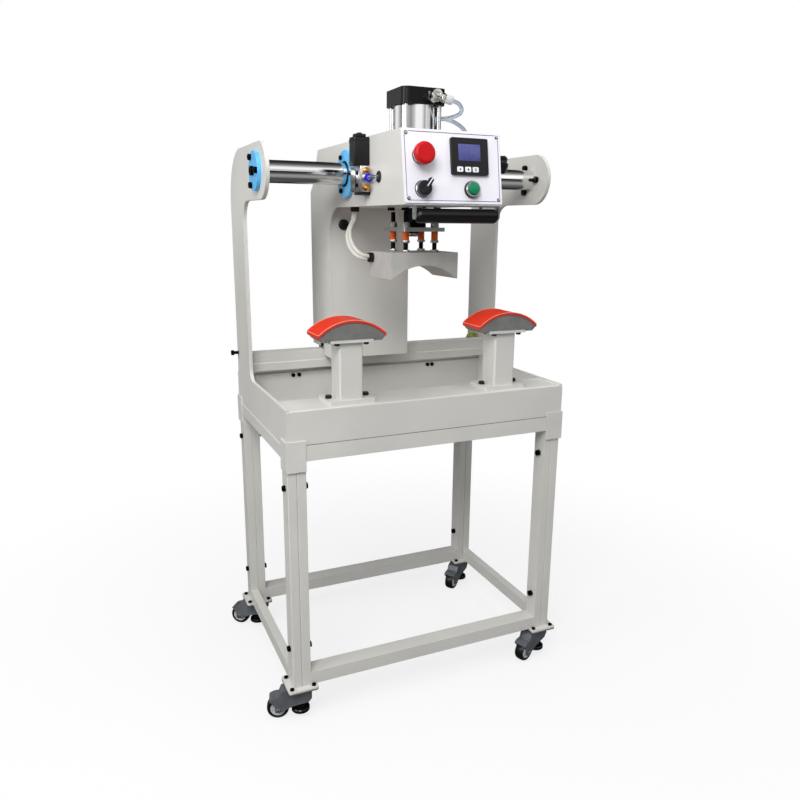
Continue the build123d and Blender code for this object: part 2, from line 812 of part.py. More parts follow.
with BuildPart() as carriage_web:
    with BuildSketch(Plane.YZ.offset(arm_x)):
        with BuildLine():
            Polyline((arm_front_low, arm_bottom), (column_front, arm_bottom),
                     (column_front, column_bottom), (column_front + deck_thick, column_bottom),
                     (column_front + deck_thick, arm_bottom + deck_thick),
                     (arm_front_low + deck_thick * tan(radians(arm_lean)),
                      arm_bottom + deck_thick), close=True)
        make_face()
    extrude(amount=arm_inner, both=True)
    with BuildSketch(Plane.XY.offset(arm_bottom)):
        with Locations((arm_x, press_y)):
            Circle(rod_radius + rod_clear)
        with Locations(*tie_rods):
            Circle(tie_rod_radius + bolt_clear)
        with Locations(*strap_screws):
            Circle(m4 + bolt_clear)
        with Locations(cable_top):
            Circle(gland_thread)
    extrude(amount=deck_thick, mode=Mode.SUBTRACT)
    with BuildSketch(Plane.XZ.offset(-column_front)):
        with Locations((web_gland_x, web_gland_z)):
            Circle(gland_thread)
    extrude(amount=-deck_thick, mode=Mode.SUBTRACT)
save(carriage_web, "carriage_web")

with BuildPart() as carriage_cover:
    with BuildSketch(Plane.YZ.offset(arm_x)):
        with BuildLine():
            Polyline((arm_front_top, arm_top), hip_high, hip_mid, hip_low,
                     (column_back, column_step_z))
            offset(amount=cover_sheet, side=Side.RIGHT)
        make_face()
    extrude(amount=arm_inner, both=True)
    with BuildSketch(Plane.XY.offset(arm_top)):
        with Locations((arm_x, press_y)):
            Rectangle(cap_size + 2 * cap_clear, cap_size + 2 * cap_clear)
        with Locations(hose_way):
            Circle(hose_radius + hose_clear)
    extrude(amount=-2 * cover_sheet, mode=Mode.SUBTRACT)
    with BuildSketch(Plane.XZ.offset(-column_back)):
        with Locations((port_x, port_z)):
            Circle(port_thread)
        with Locations((port_x, mains_z)):
            Circle(port_thread)
    extrude(amount=2 * cover_sheet, mode=Mode.SUBTRACT)
save(carriage_cover, "carriage_cover")

# The panel closes the front; its holes take the switch stems and the controller.
with BuildPart() as control_panel:
    with BuildSketch(panel_face) as sheet:
        Rectangle(arm_width, panel_tall)
        fillet(sheet.vertices(), panel_corner)
        with Locations(estop_at, selector_at, start_at):
            Circle(thread_radius + bolt_clear, mode=Mode.SUBTRACT)
        with Locations(controller_at):
            Rectangle(controller_width - 2 * (controller_lip - controller_clear),
                      controller_height - 2 * (controller_lip - controller_clear), mode=Mode.SUBTRACT)
        with GridLocations(arm_width - 2 * panel_screw, panel_tall - 2 * panel_screw, 2, 2):
            Circle(m4 + bolt_clear, mode=Mode.SUBTRACT)
    extrude(amount=-panel_thick)
save(control_panel, "control_panel")

# ---- Slide bushes and the shoe that keeps the carriage from turning on the tube -------------------------

with BuildPart() as slide_bushes:
    for side in (-1, 1):
        outer = tube_plane.offset(arm_x + side * arm_width / 2)
        with BuildSketch(outer):
            Circle(bush_radius)
            Circle(tube_radius + running, mode=Mode.SUBTRACT)
            with PolarLocations(bush_bolt_circle, 3, start_angle=180):
                Circle(m6 + bolt_clear, mode=Mode.SUBTRACT)
        extrude(amount=side * bush_flange)
        with BuildSketch(outer):
            Circle(bush_sleeve_radius)
            Circle(tube_radius + running, mode=Mode.SUBTRACT)
        extrude(amount=-side * bush_sleeve)
save(slide_bushes, "slide_bushes")

with BuildPart() as guide_shoe:
    with BuildSketch(Plane.YZ.offset(arm_x)):
        with BuildLine():
            Polyline((shoe_front, column_bottom), (shoe_front, shoe_top), (shoe_back, shoe_top),
                     (shoe_back, column_bottom), (beam_front + beam_depth + running, column_bottom),
                     (beam_front + beam_depth + running, beam_top + rub_gap),
                     (beam_front - running, beam_top + rub_gap), (beam_front - running, column_bottom),
                     close=True)
        make_face()
    extrude(amount=arm_inner, both=True)
    for side in (-1, 1):
        with BuildSketch(Plane.YZ.offset(arm_x + side * arm_inner)):
            with Locations((shoe_bolt_y, shoe_bolt_z)):
                Circle(m6)
        extrude(amount=-side * shoe_thread, mode=Mode.SUBTRACT)
save(guide_shoe, "guide_shoe")

# ---- Tie-rod cylinder: barrel, two end caps and four tie rods -------------------------------------------

cap_z = (arm_bottom + deck_thick, cylinder_top - cap_height)
rod_z = ram_plate_z + ram_plate_thick

with BuildPart() as cylinder_caps:
    for z in cap_z:
        with BuildSketch(Plane.XY.offset(z)):
            with Locations((arm_x, press_y)):
                RectangleRounded(cap_size, cap_size, cap_corner)
            with Locations(*tie_rods):
                Circle(tie_rod_radius + bolt_clear, mode=Mode.SUBTRACT)
        extrude(amount=cap_height)
    with BuildSketch(Plane.XY.offset(cap_z[0])):
        with Locations((arm_x, press_y)):
            Circle(rod_radius + running)
    extrude(amount=cap_height, mode=Mode.SUBTRACT)
    with BuildSketch(Plane.XZ.offset(-press_y + cap_size / 2)):
        with Locations((elbow_x, elbow_z)):
            Circle(elbow_thread)
    extrude(amount=-elbow_depth, mode=Mode.SUBTRACT)
save(cylinder_caps, "cylinder_caps")

with BuildPart() as cylinder_barrel:
    with BuildSketch(Plane.XY.offset(barrel_z[0])):
        with Locations((arm_x, press_y)):
            Circle(bore_radius + barrel_wall)
            Circle(bore_radius, mode=Mode.SUBTRACT)
    extrude(amount=barrel_z[1] - barrel_z[0])
save(cylinder_barrel, "cylinder_barrel")

with BuildPart() as cylinder_tie_rods:
    with BuildSketch(Plane.XY.offset(arm_bottom)):
        with Locations(*tie_rods):
            Circle(tie_rod_radius)
    extrude(amount=cylinder_top - arm_bottom - cap_recess)
    with BuildSketch(Plane.XY.offset(arm_bottom)):
        with Locations(*tie_rods):
            RegularPolygon(nut_radius, 6)
    extrude(amount=-wide_nut)
save(cylinder_tie_rods, "cylinder_tie_rods")

# ---- Ram: piston and rod, plate, studs, heat bushings and the arched heating platen ---------------------

studs = [(arm_x + sx * stud_pitch_x / 2, press_y + sy * stud_pitch_y / 2) for sx, sy in legs]

with BuildPart() as ram_rod:
    with BuildSketch(Plane.XY.offset(rod_z)):
        with Locations((arm_x, press_y)):
            Circle(rod_radius)
    extrude(amount=barrel_z[1] - rub_gap - rod_z)
    with BuildSketch(Plane.XY.offset(barrel_z[1] - rub_gap)):
        with Locations((arm_x, press_y)):
            Circle(bore_radius - running)
    extrude(amount=-piston_thick)
    with BuildSketch(Plane.XY.offset(rod_z + hub_height)):
        with Locations((arm_x, press_y)):
            RegularPolygon(coupling_size, 6)
    extrude(amount=coupling_height)
save(ram_rod, "ram_rod")

with BuildPart() as ram_plate:
    with BuildSketch(Plane.XY.offset(ram_plate_z)):
        with Locations((arm_x, press_y)):
            RectangleRounded(ram_plate_width, ram_plate_depth, ram_plate_corner)
        with Locations(*studs):
            Circle(stud_radius + bolt_clear, mode=Mode.SUBTRACT)
    extrude(amount=ram_plate_thick)
    with BuildSketch(Plane.XY.offset(rod_z)):
        with Locations((arm_x, press_y)):
            Circle(hub_radius)
            Circle(rod_radius, mode=Mode.SUBTRACT)
    extrude(amount=hub_height)
save(ram_plate, "ram_plate")

with BuildPart() as ram_studs:
    with BuildSketch(Plane.XY.offset(platen_top - stud_hold)):
        with Locations(*studs):
            Circle(stud_radius)
    extrude(amount=stud_top - platen_top + stud_hold)
    for z in (platen_top, ram_plate_z - bushing_height - ram_nut, rod_z):
        with BuildSketch(Plane.XY.offset(z)):
            with Locations(*studs):
                RegularPolygon(nut_radius, 6)
        extrude(amount=ram_nut)
save(ram_studs, "ram_studs")

with BuildPart() as ram_bushings:
    with BuildSketch(Plane.XY.offset(ram_plate_z)):
        with Locations(*studs):
            Circle(bushing_radius)
            Circle(stud_radius, mode=Mode.SUBTRACT)
    extrude(amount=-bushing_height)
save(ram_bushings, "ram_bushings")

platen_left = arm_x - platen_width / 2
with BuildPart() as heater_platen:
    with BuildSketch(Plane(origin=(arm_x, press_y, 0), x_dir=(1, 0, 0), z_dir=(0, -1, 0))):
        with Locations((0, (platen_top + platen_bottom) / 2)):
            Rectangle(platen_width, platen_top - platen_bottom)
        add(arch(platen_arch, platen_span, platen_crown, platen_bottom - platen_cut),
            mode=Mode.SUBTRACT)
    extrude(amount=platen_depth / 2, both=True)
    with BuildSketch(Plane.XY.offset(platen_top)):
        with Locations(*studs):
            Circle(stud_radius)
    extrude(amount=-stud_hold, mode=Mode.SUBTRACT)
    with BuildSketch(Plane.YZ.offset(platen_left)):
        with Locations((heater_y, heater_z)):
            Circle(gland_thread)
    extrude(amount=gland_depth, mode=Mode.SUBTRACT)
save(heater_platen, "heater_platen")

# ---- Panel fittings: switch bezels, the controller and everything that is pressed or turned --------------


def on_panel(at, height=0.0):
    """Plane on the panel's face at a place (across, up), raised by a height."""
    origin = panel_face.from_local_coords((at[0], at[1], height))
    return Plane(origin=origin, x_dir=(1, 0, 0), z_dir=panel_out)


with BuildPart() as panel_bezels:
    for at, height in ((estop_at, estop_collar), (selector_at, selector_collar), (start_at, start_collar)):
        with BuildSketch(on_panel(at)):
            Circle(bezel_radius)
        extrude(amount=height)
        chamfer(panel_bezels.edges().filter_by(GeomType.CIRCLE).sort_by_distance(
            on_panel(at, height).origin)[0], bezel_chamfer)
        with BuildSketch(on_panel(at)):
            Circle(thread_radius)
        extrude(amount=-stem_length)
        with BuildSketch(on_panel(at, height)):
            Circle(stem_radius + running)
        extrude(amount=-height - stem_length, mode=Mode.SUBTRACT)
    with BuildSketch(on_panel(start_at, start_collar)):
        Circle(start_radius + rub_gap)
    extrude(amount=-start_sunk, mode=Mode.SUBTRACT)
save(panel_bezels, "panel_bezels")

with BuildPart() as estop_button:
    with BuildSketch(on_panel(estop_at, estop_collar + estop_travel + rub_gap)):
        Circle(estop_radius)
    extrude(amount=estop_head)
    top = estop_button.faces().sort_by(Axis((0, 0, 0), panel_out))[-1]
    fillet(top.edges(), estop_dome)
    with BuildSketch(on_panel(estop_at, estop_collar + estop_travel + rub_gap)):
        Circle(stem_radius)
    extrude(amount=-stem_length)
save(estop_button, "estop_button")

with BuildPart() as selector_knob:
    lever = on_panel(selector_at, selector_collar + rub_gap)
    with BuildSketch(lever):
        Circle(selector_radius)
    extrude(amount=selector_skirt)
    with BuildSketch(lever.offset(selector_skirt)):
        with Locations(Location((0, 0), selector_turn)):
            with Locations(((selector_reach - selector_tail) / 2, 0)):
                SlotOverall(selector_tail + selector_reach, selector_lever)
    extrude(amount=selector_handle)
    with BuildSketch(lever):
        Circle(stem_radius)
    extrude(amount=-stem_length)
save(selector_knob, "selector_knob")

with BuildPart() as start_button:
    with BuildSketch(on_panel(start_at, start_collar - start_sunk + start_travel + rub_gap)):
        Circle(start_radius)
    extrude(amount=start_cap)
    top = start_button.faces().sort_by(Axis((0, 0, 0), panel_out))[-1]
    chamfer(top.edges(), bezel_chamfer)
    with BuildSketch(on_panel(start_at, start_collar - start_sunk + start_travel + rub_gap)):
        Circle(stem_radius)
    extrude(amount=-stem_length)
save(start_button, "start_button")


def on_controller(at, height=0.0):
    """Plane on the panel at a place measured from the controller's centre."""
    return on_panel((controller_at[0] + at[0], controller_at[1] + at[1]), height)


with BuildPart() as controller:
    with BuildSketch(on_controller((0, 0))):
        RectangleRounded(controller_width, controller_height, panel_corner)
    extrude(amount=controller_rim)
    with BuildSketch(on_controller((0, 0))):
        Rectangle(controller_width - 2 * controller_lip, controller_height - 2 * controller_lip)
    extrude(amount=-controller_depth)
    with BuildSketch(on_controller(screen_at, controller_rim)):
        Rectangle(screen_width, screen_height)
    extrude(amount=-screen_sunk, mode=Mode.SUBTRACT)
    for place in key_places.values():
        with BuildSketch(on_controller(place, controller_rim)):
            RectangleRounded(key_width + 2 * rub_gap, key_height + 2 * rub_gap, key_corner + rub_gap)
        extrude(amount=-key_pocket, mode=Mode.SUBTRACT)
save(controller, "controller")

for key_name, place in key_places.items():
    with BuildPart() as key:
        with BuildSketch(on_controller(place, controller_rim - key_pocket + key_travel + rub_gap)):
            RectangleRounded(key_width, key_height, key_corner)
        extrude(amount=key_pocket)
    save(key, f"controller_key_{key_name}")

with BuildPart() as regulator_knob:
    outer = Plane(origin=(arm_right, knob_y, knob_z), x_dir=(0, 1, 0), z_dir=(1, 0, 0))
    with BuildSketch(outer.offset(rub_gap)):
        Circle(knob_radius)
    extrude(amount=knob_skirt)
    with BuildSketch(outer.offset(rub_gap + knob_skirt)):
        Circle(knob_radius - knob_step)
    extrude(amount=knob_length - knob_skirt)
    with BuildSketch(outer.offset(knob_length)):
        with PolarLocations(knob_radius - knob_step, 12):
            Circle(knob_flute)
    extrude(amount=-(knob_length - knob_skirt - rub_gap), mode=Mode.SUBTRACT)
    with BuildSketch(outer.offset(rub_gap)):
        Circle(stem_radius - running)
    extrude(amount=-stem_length / 2)
save(regulator_knob, "regulator_knob")

# ---- Handle: flat strap under the arm with a bar between its legs, and the foam grip on the bar ----------

with BuildPart() as handle_bracket:
    strap_left = grip_left - strap_thick
    strap_right = grip_right + strap_thick
    with BuildSketch(Plane.XY.offset(arm_bottom)):
        with Locations(((strap_left + strap_right) / 2, grip_y)):
            Rectangle(strap_right - strap_left, strap_depth)
        with Locations(*strap_screws):
            Circle(m4 + bolt_clear, mode=Mode.SUBTRACT)
    extrude(amount=-strap_thick)
    for x in (strap_left, grip_right):
        with BuildSketch(Plane.YZ.offset(x)):
            with Locations((grip_y, grip_z)):
                Circle(strap_depth / 2)
            with Locations((grip_y, (arm_bottom + grip_z) / 2)):
                Rectangle(strap_depth, arm_bottom - grip_z)
        extrude(amount=strap_thick)
    with BuildSketch(Plane.YZ.offset(grip_left)):
        with Locations((grip_y, grip_z)):
            Circle(bar_radius)
    extrude(amount=grip_right - grip_left)
save(handle_bracket, "handle_bracket")

with BuildPart() as handle_grip:
    with BuildSketch(Plane.YZ.offset(grip_left)):
        with Locations((grip_y, grip_z)):
            Circle(grip_radius)
    extrude(amount=grip_right - grip_left)
    ends = handle_grip.edges().filter_by(GeomType.CIRCLE)
    fillet(ends, grip_round)
    with BuildSketch(Plane.YZ.offset(grip_left)):
        with Locations((grip_y, grip_z)):
            Circle(bar_radius)
    extrude(amount=grip_right - grip_left, mode=Mode.SUBTRACT)
save(handle_grip, "handle_grip")

# ---- Solenoid valve, air fittings and glands ------------------------------------------------------------

with BuildPart() as valve_body:
    with BuildSketch(Plane.XY.offset(valve_low)):
        with Locations((arm_left - valve_out / 2, (valve_front + valve_back) / 2)):
            Rectangle(valve_out, valve_back - valve_front)
    extrude(amount=valve_high - valve_low)
    chamfer(valve_body.edges().filter_by(Axis.Y).group_by(Axis.X)[0], valve_chamfer)
save(valve_body, "valve_body")

with BuildPart() as valve_coil:
    coil_place = (arm_left - coil_out / 2, (coil_front + coil_back) / 2)
    with BuildSketch(Plane.XY.offset(valve_high)):
        with Locations(coil_place):
            RectangleRounded(coil_out, coil_back - coil_front, coil_corner)
    extrude(amount=coil_height)
    with BuildSketch(Plane.XY.offset(valve_high + coil_height)):
        with Locations(coil_place):
            RectangleRounded(coil_cap_width, coil_cap_depth, coil_corner)
    extrude(amount=coil_cap_height)
save(valve_coil, "valve_coil")


def route(points, radius):
    """Tube of this radius along straight runs joined by the largest arcs that the runs allow."""
    bends = []
    for a, b, c in zip(points, points[1:], points[2:]):
        before = Vector(*b) - Vector(*a)
        after = Vector(*c) - Vector(*b)
        shorter = min(before.length, after.length)
        bends.append(bend_share * shorter / tan(radians(before.get_angle(after) / 2)))
    with BuildPart() as tube:
        with BuildLine() as path:
            FilletPolyline(*points, radius=bends)
        with BuildSketch(Plane(origin=path.line @ 0, z_dir=path.line % 0)):
            Circle(radius)
        sweep(path=path.line)
    return tube.part


valve_mid = arm_left - valve_out / 2
elbow_y = press_y - cap_size / 2
push_in_end = (valve_mid, valve_front - push_in_length, push_in_z)
elbow_end = (elbow_x + elbow_reach[0], elbow_y - elbow_out + elbow_reach[1], elbow_z + elbow_reach[2])

with BuildPart() as carriage_fittings:
    front = Plane(origin=(valve_mid, valve_front, 0), x_dir=(1, 0, 0), z_dir=(0, -1, 0))
    # Two silencers with hexagon collars and the push-in fitting between them.
    for z in silencer_z:
        with BuildSketch(front):
            with Locations((0, z)):
                RegularPolygon(silencer_hex, 6)
        extrude(amount=silencer_collar)
        with BuildSketch(front):
            with Locations((0, z)):
                Circle(silencer_radius)
        extrude(amount=silencer_length)
    with BuildSketch(front):
        with Locations((0, push_in_z)):
            Circle(push_in_radius)
    extrude(amount=push_in_length)
    # Foot under the valve.
    with BuildSketch(Plane.XY.offset(valve_low)):
        with Locations((arm_left - valve_foot_out / 2, (valve_front + coil_back) / 2)):
            Rectangle(valve_foot_out, coil_back - valve_front)
    extrude(amount=-valve_foot)
    # Grommet where the valve's hose enters the arm.
    with BuildSketch(Plane.YZ.offset(arm_left)):
        with Locations((grommet_y, grommet_z)):
            Circle(grommet_radius + grommet_lip)
            Circle(hose_radius + rub_gap, mode=Mode.SUBTRACT)
    extrude(amount=-grommet_lip)
    with BuildSketch(Plane.YZ.offset(arm_left)):
        with Locations((grommet_y, grommet_z)):
            Circle(grommet_radius)
            Circle(hose_radius, mode=Mode.SUBTRACT)
    extrude(amount=arm_sheet)
    # Elbow on the cylinder's top port.
    port = Plane(origin=(elbow_x, elbow_y, elbow_z), x_dir=(1, 0, 0), z_dir=(0, -1, 0))
    with BuildSketch(port):
        Circle(elbow_thread)
    extrude(amount=-elbow_depth)
    with BuildSketch(port):
        Circle(elbow_radius)
    extrude(amount=elbow_out + elbow_arm)
    with BuildSketch(Plane(origin=port.origin + Vector(0, -elbow_out, 0), z_dir=elbow_reach)):
        Circle(elbow_arm)
    extrude(amount=Vector(*elbow_reach).length)
    # Glands for the heater cable under the arm and for the wiring in the web.
    with BuildSketch(Plane.XY.offset(arm_bottom)):
        with Locations(cable_top):
            Circle(gland_radius)
    extrude(amount=-gland_out)
    with BuildSketch(Plane.XY.offset(arm_bottom)):
        with Locations(cable_top):
            Circle(gland_thread)
    extrude(amount=deck_thick)
    web_gland = Plane(origin=(web_gland_x, column_front, web_gland_z), x_dir=(1, 0, 0), z_dir=(0, -1, 0))
    with BuildSketch(web_gland):
        Circle(web_gland_radius)
    extrude(amount=gland_out)
    with BuildSketch(web_gland):
        Circle(gland_thread)
    extrude(amount=-deck_thick)
    # Air inlet and mains gland in the rear cover.
    for z, bore in ((port_z, port_radius), (mains_z, mains_radius)):
        rear = Plane(origin=(port_x, column_back, z), x_dir=(-1, 0, 0), z_dir=(0, 1, 0))
        with BuildSketch(rear):
            RegularPolygon(port_flat, 6)
        extrude(amount=port_out)
        with BuildSketch(rear):
            Circle(port_thread)
        extrude(amount=-(port_length - port_out))
        with BuildSketch(rear.offset(port_out)):
            Circle(bore)
        extrude(amount=-port_length, mode=Mode.SUBTRACT)
save(carriage_fittings, "carriage_fittings")

# ---- Hoses and the heater cable ---------------------------------------------------------------------------

valve_hose_points = [push_in_end, (valve_mid, grommet_y, grommet_z),
                     (arm_left + hose_inside, grommet_y, grommet_z)]
cylinder_hose_points = [elbow_end, (29, -246.9, 1313.6), (42, -238, 1304), (46, -222, 1297),
                        (37, -205, 1292), (25, -190, 1291), (20, -172, 1293), (29, -158, 1295),
                        (43, -162, 1294), (52, -178, 1289), (56, -199, 1280), (58, -220, 1268),
                        (hose_way[0], hose_way[1], 1253), (hose_way[0], hose_way[1], arm_top - hose_inside)]

with BuildPart() as air_hoses:
    add(route(valve_hose_points, hose_radius))
    add(route(cylinder_hose_points, hose_radius))
save(air_hoses, "air_hoses")

gland_face = platen_left - gland_out
cable_points = [(gland_face, heater_y, heater_z), (gland_face - cable_lead, heater_y, heater_z),
                (-146, -124, 1022), (-150, -104, 1040), (-145, -82, 1057), (-134, -62, 1071),
                (-122, -47, 1082), (cable_top[0], cable_top[1], 1093),
                (cable_top[0], cable_top[1], arm_bottom - gland_out)]

with BuildPart() as heater_gland:
    left_face = Plane(origin=(platen_left, heater_y, heater_z), x_dir=(0, -1, 0), z_dir=(-1, 0, 0))
    with BuildSketch(left_face):
        Circle(gland_radius)
    extrude(amount=gland_out)
    with BuildSketch(left_face):
        Circle(gland_thread)
    extrude(amount=-gland_depth)
save(heater_gland, "heater_gland")

with BuildPart() as heater_cable:
    add(route(cable_points, cable_radius))
save(heater_cable, "heater_cable")

# ---- Bolts and screws of the carriage ---------------------------------------------------------------------

with BuildPart() as carriage_bolts:
    for side in (-1, 1):
        out = (side, 0, 0)
        plate_face = arm_x + side * arm_width / 2
        for angle in (180, 300, 60):
            y = tube_y + bush_bolt_circle * cos(radians(angle))
            z = tube_z + bush_bolt_circle * sin(radians(angle))
            with Locations(facing(plate_face + side * bush_flange, y, z, out)):
                add(bolt(m6, bush_flange + arm_sheet + wide_nut))
            with Locations(facing(arm_x + side * arm_inner, y, z, (-side, 0, 0))):
                add(nut(m6, thin_nut))
        with Locations(facing(plate_face, shoe_bolt_y, shoe_bolt_z, out)):
            add(bolt(m6, arm_sheet + shoe_thread))
    for x, y in strap_screws:
        with Locations(facing(x, y, arm_bottom - strap_thick, (0, 0, -1))):
            add(bolt(m4, strap_thick + deck_thick, head=strap_head))
    for sx, sy in legs:
        at = (sx * (arm_width / 2 - panel_screw), sy * (panel_tall / 2 - panel_screw))
        with Locations(on_panel(at)):
            add(bolt(m4, panel_thick + small_nut, head=m4))
        with Locations(on_panel(at, -panel_thick)):
            with Locations(Location((0, 0, 0), (180, 0, 0))):
                add(nut(m4, small_nut))
save(carriage_bolts, "carriage_bolts")

# ---- Castors: fixed plate and kingpin, swivelling body, wheel and screw-down foot ----------------------

with BuildPart() as castor_mounts:
    for sx, sy in legs:
        with BuildSketch(Plane.XY.offset(stand_base - plate_thick)):
            with Locations((sx * leg_x, sy * leg_y)):
                RectangleRounded(plate_width, plate_depth, plate_corner)
                with GridLocations(plate_bolt_pitch, plate_bolt_pitch, 2, 2):
                    Circle(m6, mode=Mode.SUBTRACT)
        extrude(amount=-castor_plate)
        with BuildSketch(Plane.XY.offset(stand_base - plate_thick - castor_plate)):
            with Locations((sx * leg_x, sy * leg_y)):
                Circle(kingpin_radius)
        extrude(amount=-kingpin_length)
save(castor_mounts, "castor_mounts")

fork_top = stand_base - plate_thick - castor_plate - rub_gap
fork_half = wheel_width / 2 + fork_gap + fork_cheek
guard_radius = wheel_radius + wheel_clear

for place in legs:
    turn = radians(castor_turn[place])
    ahead = Vector(cos(turn), sin(turn), 0)
    foot_plane = Plane(origin=(place[0] * leg_x, place[1] * leg_y, 0), x_dir=ahead, z_dir=(0, 0, 1))
    upright = Plane(origin=foot_plane.origin, x_dir=ahead, z_dir=(ahead.Y, -ahead.X, 0))

    with BuildPart() as castor_fork:
        with BuildSketch(upright) as cheek:
            with BuildLine():
                Polyline((-head_reach, fork_top), (head_reach, fork_top),
                         (trail - fork_hood, fork_brow), (trail + fork_nose, fork_high),
                         (trail + fork_nose, fork_low), (trail - fork_nose, fork_low),
                         (head_reach - fork_waist, fork_throat), (fork_waist - head_reach, fork_tail),
                         (-head_reach, fork_back), close=True)
            make_face()
            fillet(cheek.vertices().group_by(Axis.Y)[:-1], fork_round)
            with BuildLine():
                guard = guard_radius + guard_thick
                CenterArc((trail, wheel_radius), guard, guard_from, guard_to - guard_from)
                Polyline((trail + guard * cos(radians(guard_to)),
                          wheel_radius + guard * sin(radians(guard_to))), (trail, wheel_radius),
                         (trail + guard * cos(radians(guard_from)),
                          wheel_radius + guard * sin(radians(guard_from))))
            make_face()
        extrude(amount=fork_half, both=True)
        with BuildSketch(upright):
            with Locations((trail, wheel_radius)):
                Circle(guard_radius)
        extrude(amount=wheel_width / 2 + fork_gap, both=True, mode=Mode.SUBTRACT)
        with BuildSketch(upright):
            with Locations((trail, wheel_radius)):
                Circle(axle_radius)
        extrude(amount=fork_half, both=True)
        with BuildSketch(foot_plane.offset(fork_top)):
            Circle(kingpin_radius + running)
        extrude(amount=-kingpin_length, mode=Mode.SUBTRACT)
        with BuildSketch(foot_plane):
            Circle(foot_stem + running)
        extrude(amount=foot_bore, mode=Mode.SUBTRACT)
    save(castor_fork, f"castor_fork_{castor_name[place]}")

    with BuildPart() as castor_wheel:
        with BuildSketch(upright):
            with Locations((trail, wheel_radius)):
                Circle(wheel_radius)
        extrude(amount=wheel_width / 2, both=True)
        fillet(castor_wheel.edges().filter_by(GeomType.CIRCLE), tread_round)
        for face in (-1, 1):
            with BuildSketch(upright.offset(face * wheel_width / 2)):
                with Locations((trail, wheel_radius)):
                    Circle(hub_recess)
                    Circle(hub_boss, mode=Mode.SUBTRACT)
            extrude(amount=-face * hub_sunk, mode=Mode.SUBTRACT)
        with BuildSketch(upright):
            with Locations((trail, wheel_radius)):
                Circle(axle_radius + running)
        extrude(amount=wheel_width, both=True, mode=Mode.SUBTRACT)
    save(castor_wheel, f"castor_wheel_{castor_name[place]}")

    with BuildPart() as castor_foot:
        with BuildSketch(foot_plane.offset(foot_clear)):
            Circle(foot_radius)
        extrude(amount=foot_pad)
        chamfer(castor_foot.edges().sort_by(Axis.Z)[-1], foot_bevel)
        with BuildSketch(foot_plane.offset(foot_clear)):
            Circle(foot_stem)
        extrude(amount=foot_length)
        with BuildSketch(foot_plane.offset(foot_clear + foot_pad + foot_neck)):
            Circle(thumb_radius)
            with PolarLocations(thumb_radius, 12):
                Circle(thumb_flute, mode=Mode.SUBTRACT)
        extrude(amount=thumb_height)
    save(castor_foot, f"castor_foot_{castor_name[place]}")
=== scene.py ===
# %% [markdown]
# # A pneumatic heat press for caps
# The press stands on castors. A head slides on a chromed tube, and its cylinder pushes a hot, arched
# platen down on one of two moulds. The solid model is already exact, so this script adds what a solid
# lacks: paint, metal, plastic, rubber, and the small parts that are easier to shape as meshes.

# %% Load the solid model
import math

import bmesh
import bpy
from mathutils import Matrix, Vector


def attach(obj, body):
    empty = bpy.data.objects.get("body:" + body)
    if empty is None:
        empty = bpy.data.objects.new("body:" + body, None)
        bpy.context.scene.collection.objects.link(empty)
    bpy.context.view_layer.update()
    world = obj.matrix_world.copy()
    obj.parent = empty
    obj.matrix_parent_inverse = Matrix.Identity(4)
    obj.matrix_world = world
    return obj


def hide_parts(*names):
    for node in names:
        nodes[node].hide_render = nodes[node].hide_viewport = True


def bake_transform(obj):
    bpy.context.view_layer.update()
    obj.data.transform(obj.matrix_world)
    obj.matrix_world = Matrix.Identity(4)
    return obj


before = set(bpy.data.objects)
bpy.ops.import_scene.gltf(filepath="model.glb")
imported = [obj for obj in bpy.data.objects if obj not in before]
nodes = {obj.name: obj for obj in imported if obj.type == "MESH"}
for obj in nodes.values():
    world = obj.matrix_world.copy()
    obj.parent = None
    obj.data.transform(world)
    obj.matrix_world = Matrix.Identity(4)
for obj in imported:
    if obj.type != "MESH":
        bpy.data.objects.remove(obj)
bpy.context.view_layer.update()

# %% [markdown]
# ## The camera
# The camera stands to the left of the press and looks down a little. Its place was worked out from the
# corners of the stand, and the lens from how fast the stand narrows with distance. Its angles are in
# radians and its place in metres.

# %% Camera
def camera_matrix(position, yaw, pitch, roll):
    """World matrix of a camera that looks along +Y, turned right by yaw and down by pitch."""
    ahead = Vector((math.sin(yaw) * math.cos(pitch), math.cos(yaw) * math.cos(pitch), -math.sin(pitch)))
    right = Vector((math.cos(yaw), -math.sin(yaw), 0))
    up = right.cross(ahead)
    level_right, level_up = right, up
    right = math.cos(roll) * level_right + math.sin(roll) * level_up
    up = math.cos(roll) * level_up - math.sin(roll) * level_right
    return Matrix.Translation(position) @ Matrix((right, up, -ahead)).transposed().to_4x4()


CAMERA_PLACE, CAMERA_YAW, CAMERA_PITCH, CAMERA_ROLL = (-0.6984, -1.6048, 1.0869), 0.41947, 0.24131, 0.00806
SENSOR, LENS = 36, 32.745
lens_data = bpy.data.cameras.new("camera")
lens_data.sensor_width = SENSOR
lens_data.lens = LENS
lens_data.clip_start = 0.05
lens_data.clip_end = 60
camera = bpy.data.objects.new("camera", lens_data)
bpy.context.scene.collection.objects.link(camera)
camera.matrix_world = camera_matrix(CAMERA_PLACE, CAMERA_YAW, CAMERA_PITCH, CAMERA_ROLL)
bpy.context.scene.camera = camera
bpy.context.scene.view_settings.view_transform = "Standard"

# %% [markdown]
# ## Helpers for shapes
# Sizes are in millimetres while a piece is made and turn to metres at the end. Every shape starts from
# a bmesh primitive or a turned profile. Edges sharper than 35 degrees stay crisp, the rest is smooth.

# %% Shapes
def block(size, edge=0.0, segments=2):
    """Box around the origin, with its edges rounded when edge is not zero."""
    bm = bmesh.new()
    bmesh.ops.create_cube(bm, size=1.0)
    bmesh.ops.scale(bm, vec=size, verts=bm.verts)
    if edge:
        bmesh.ops.bevel(bm, geom=bm.edges[:], offset=edge, affect="EDGES", segments=segments,
                        profile=0.5, material=-1)
    return bm


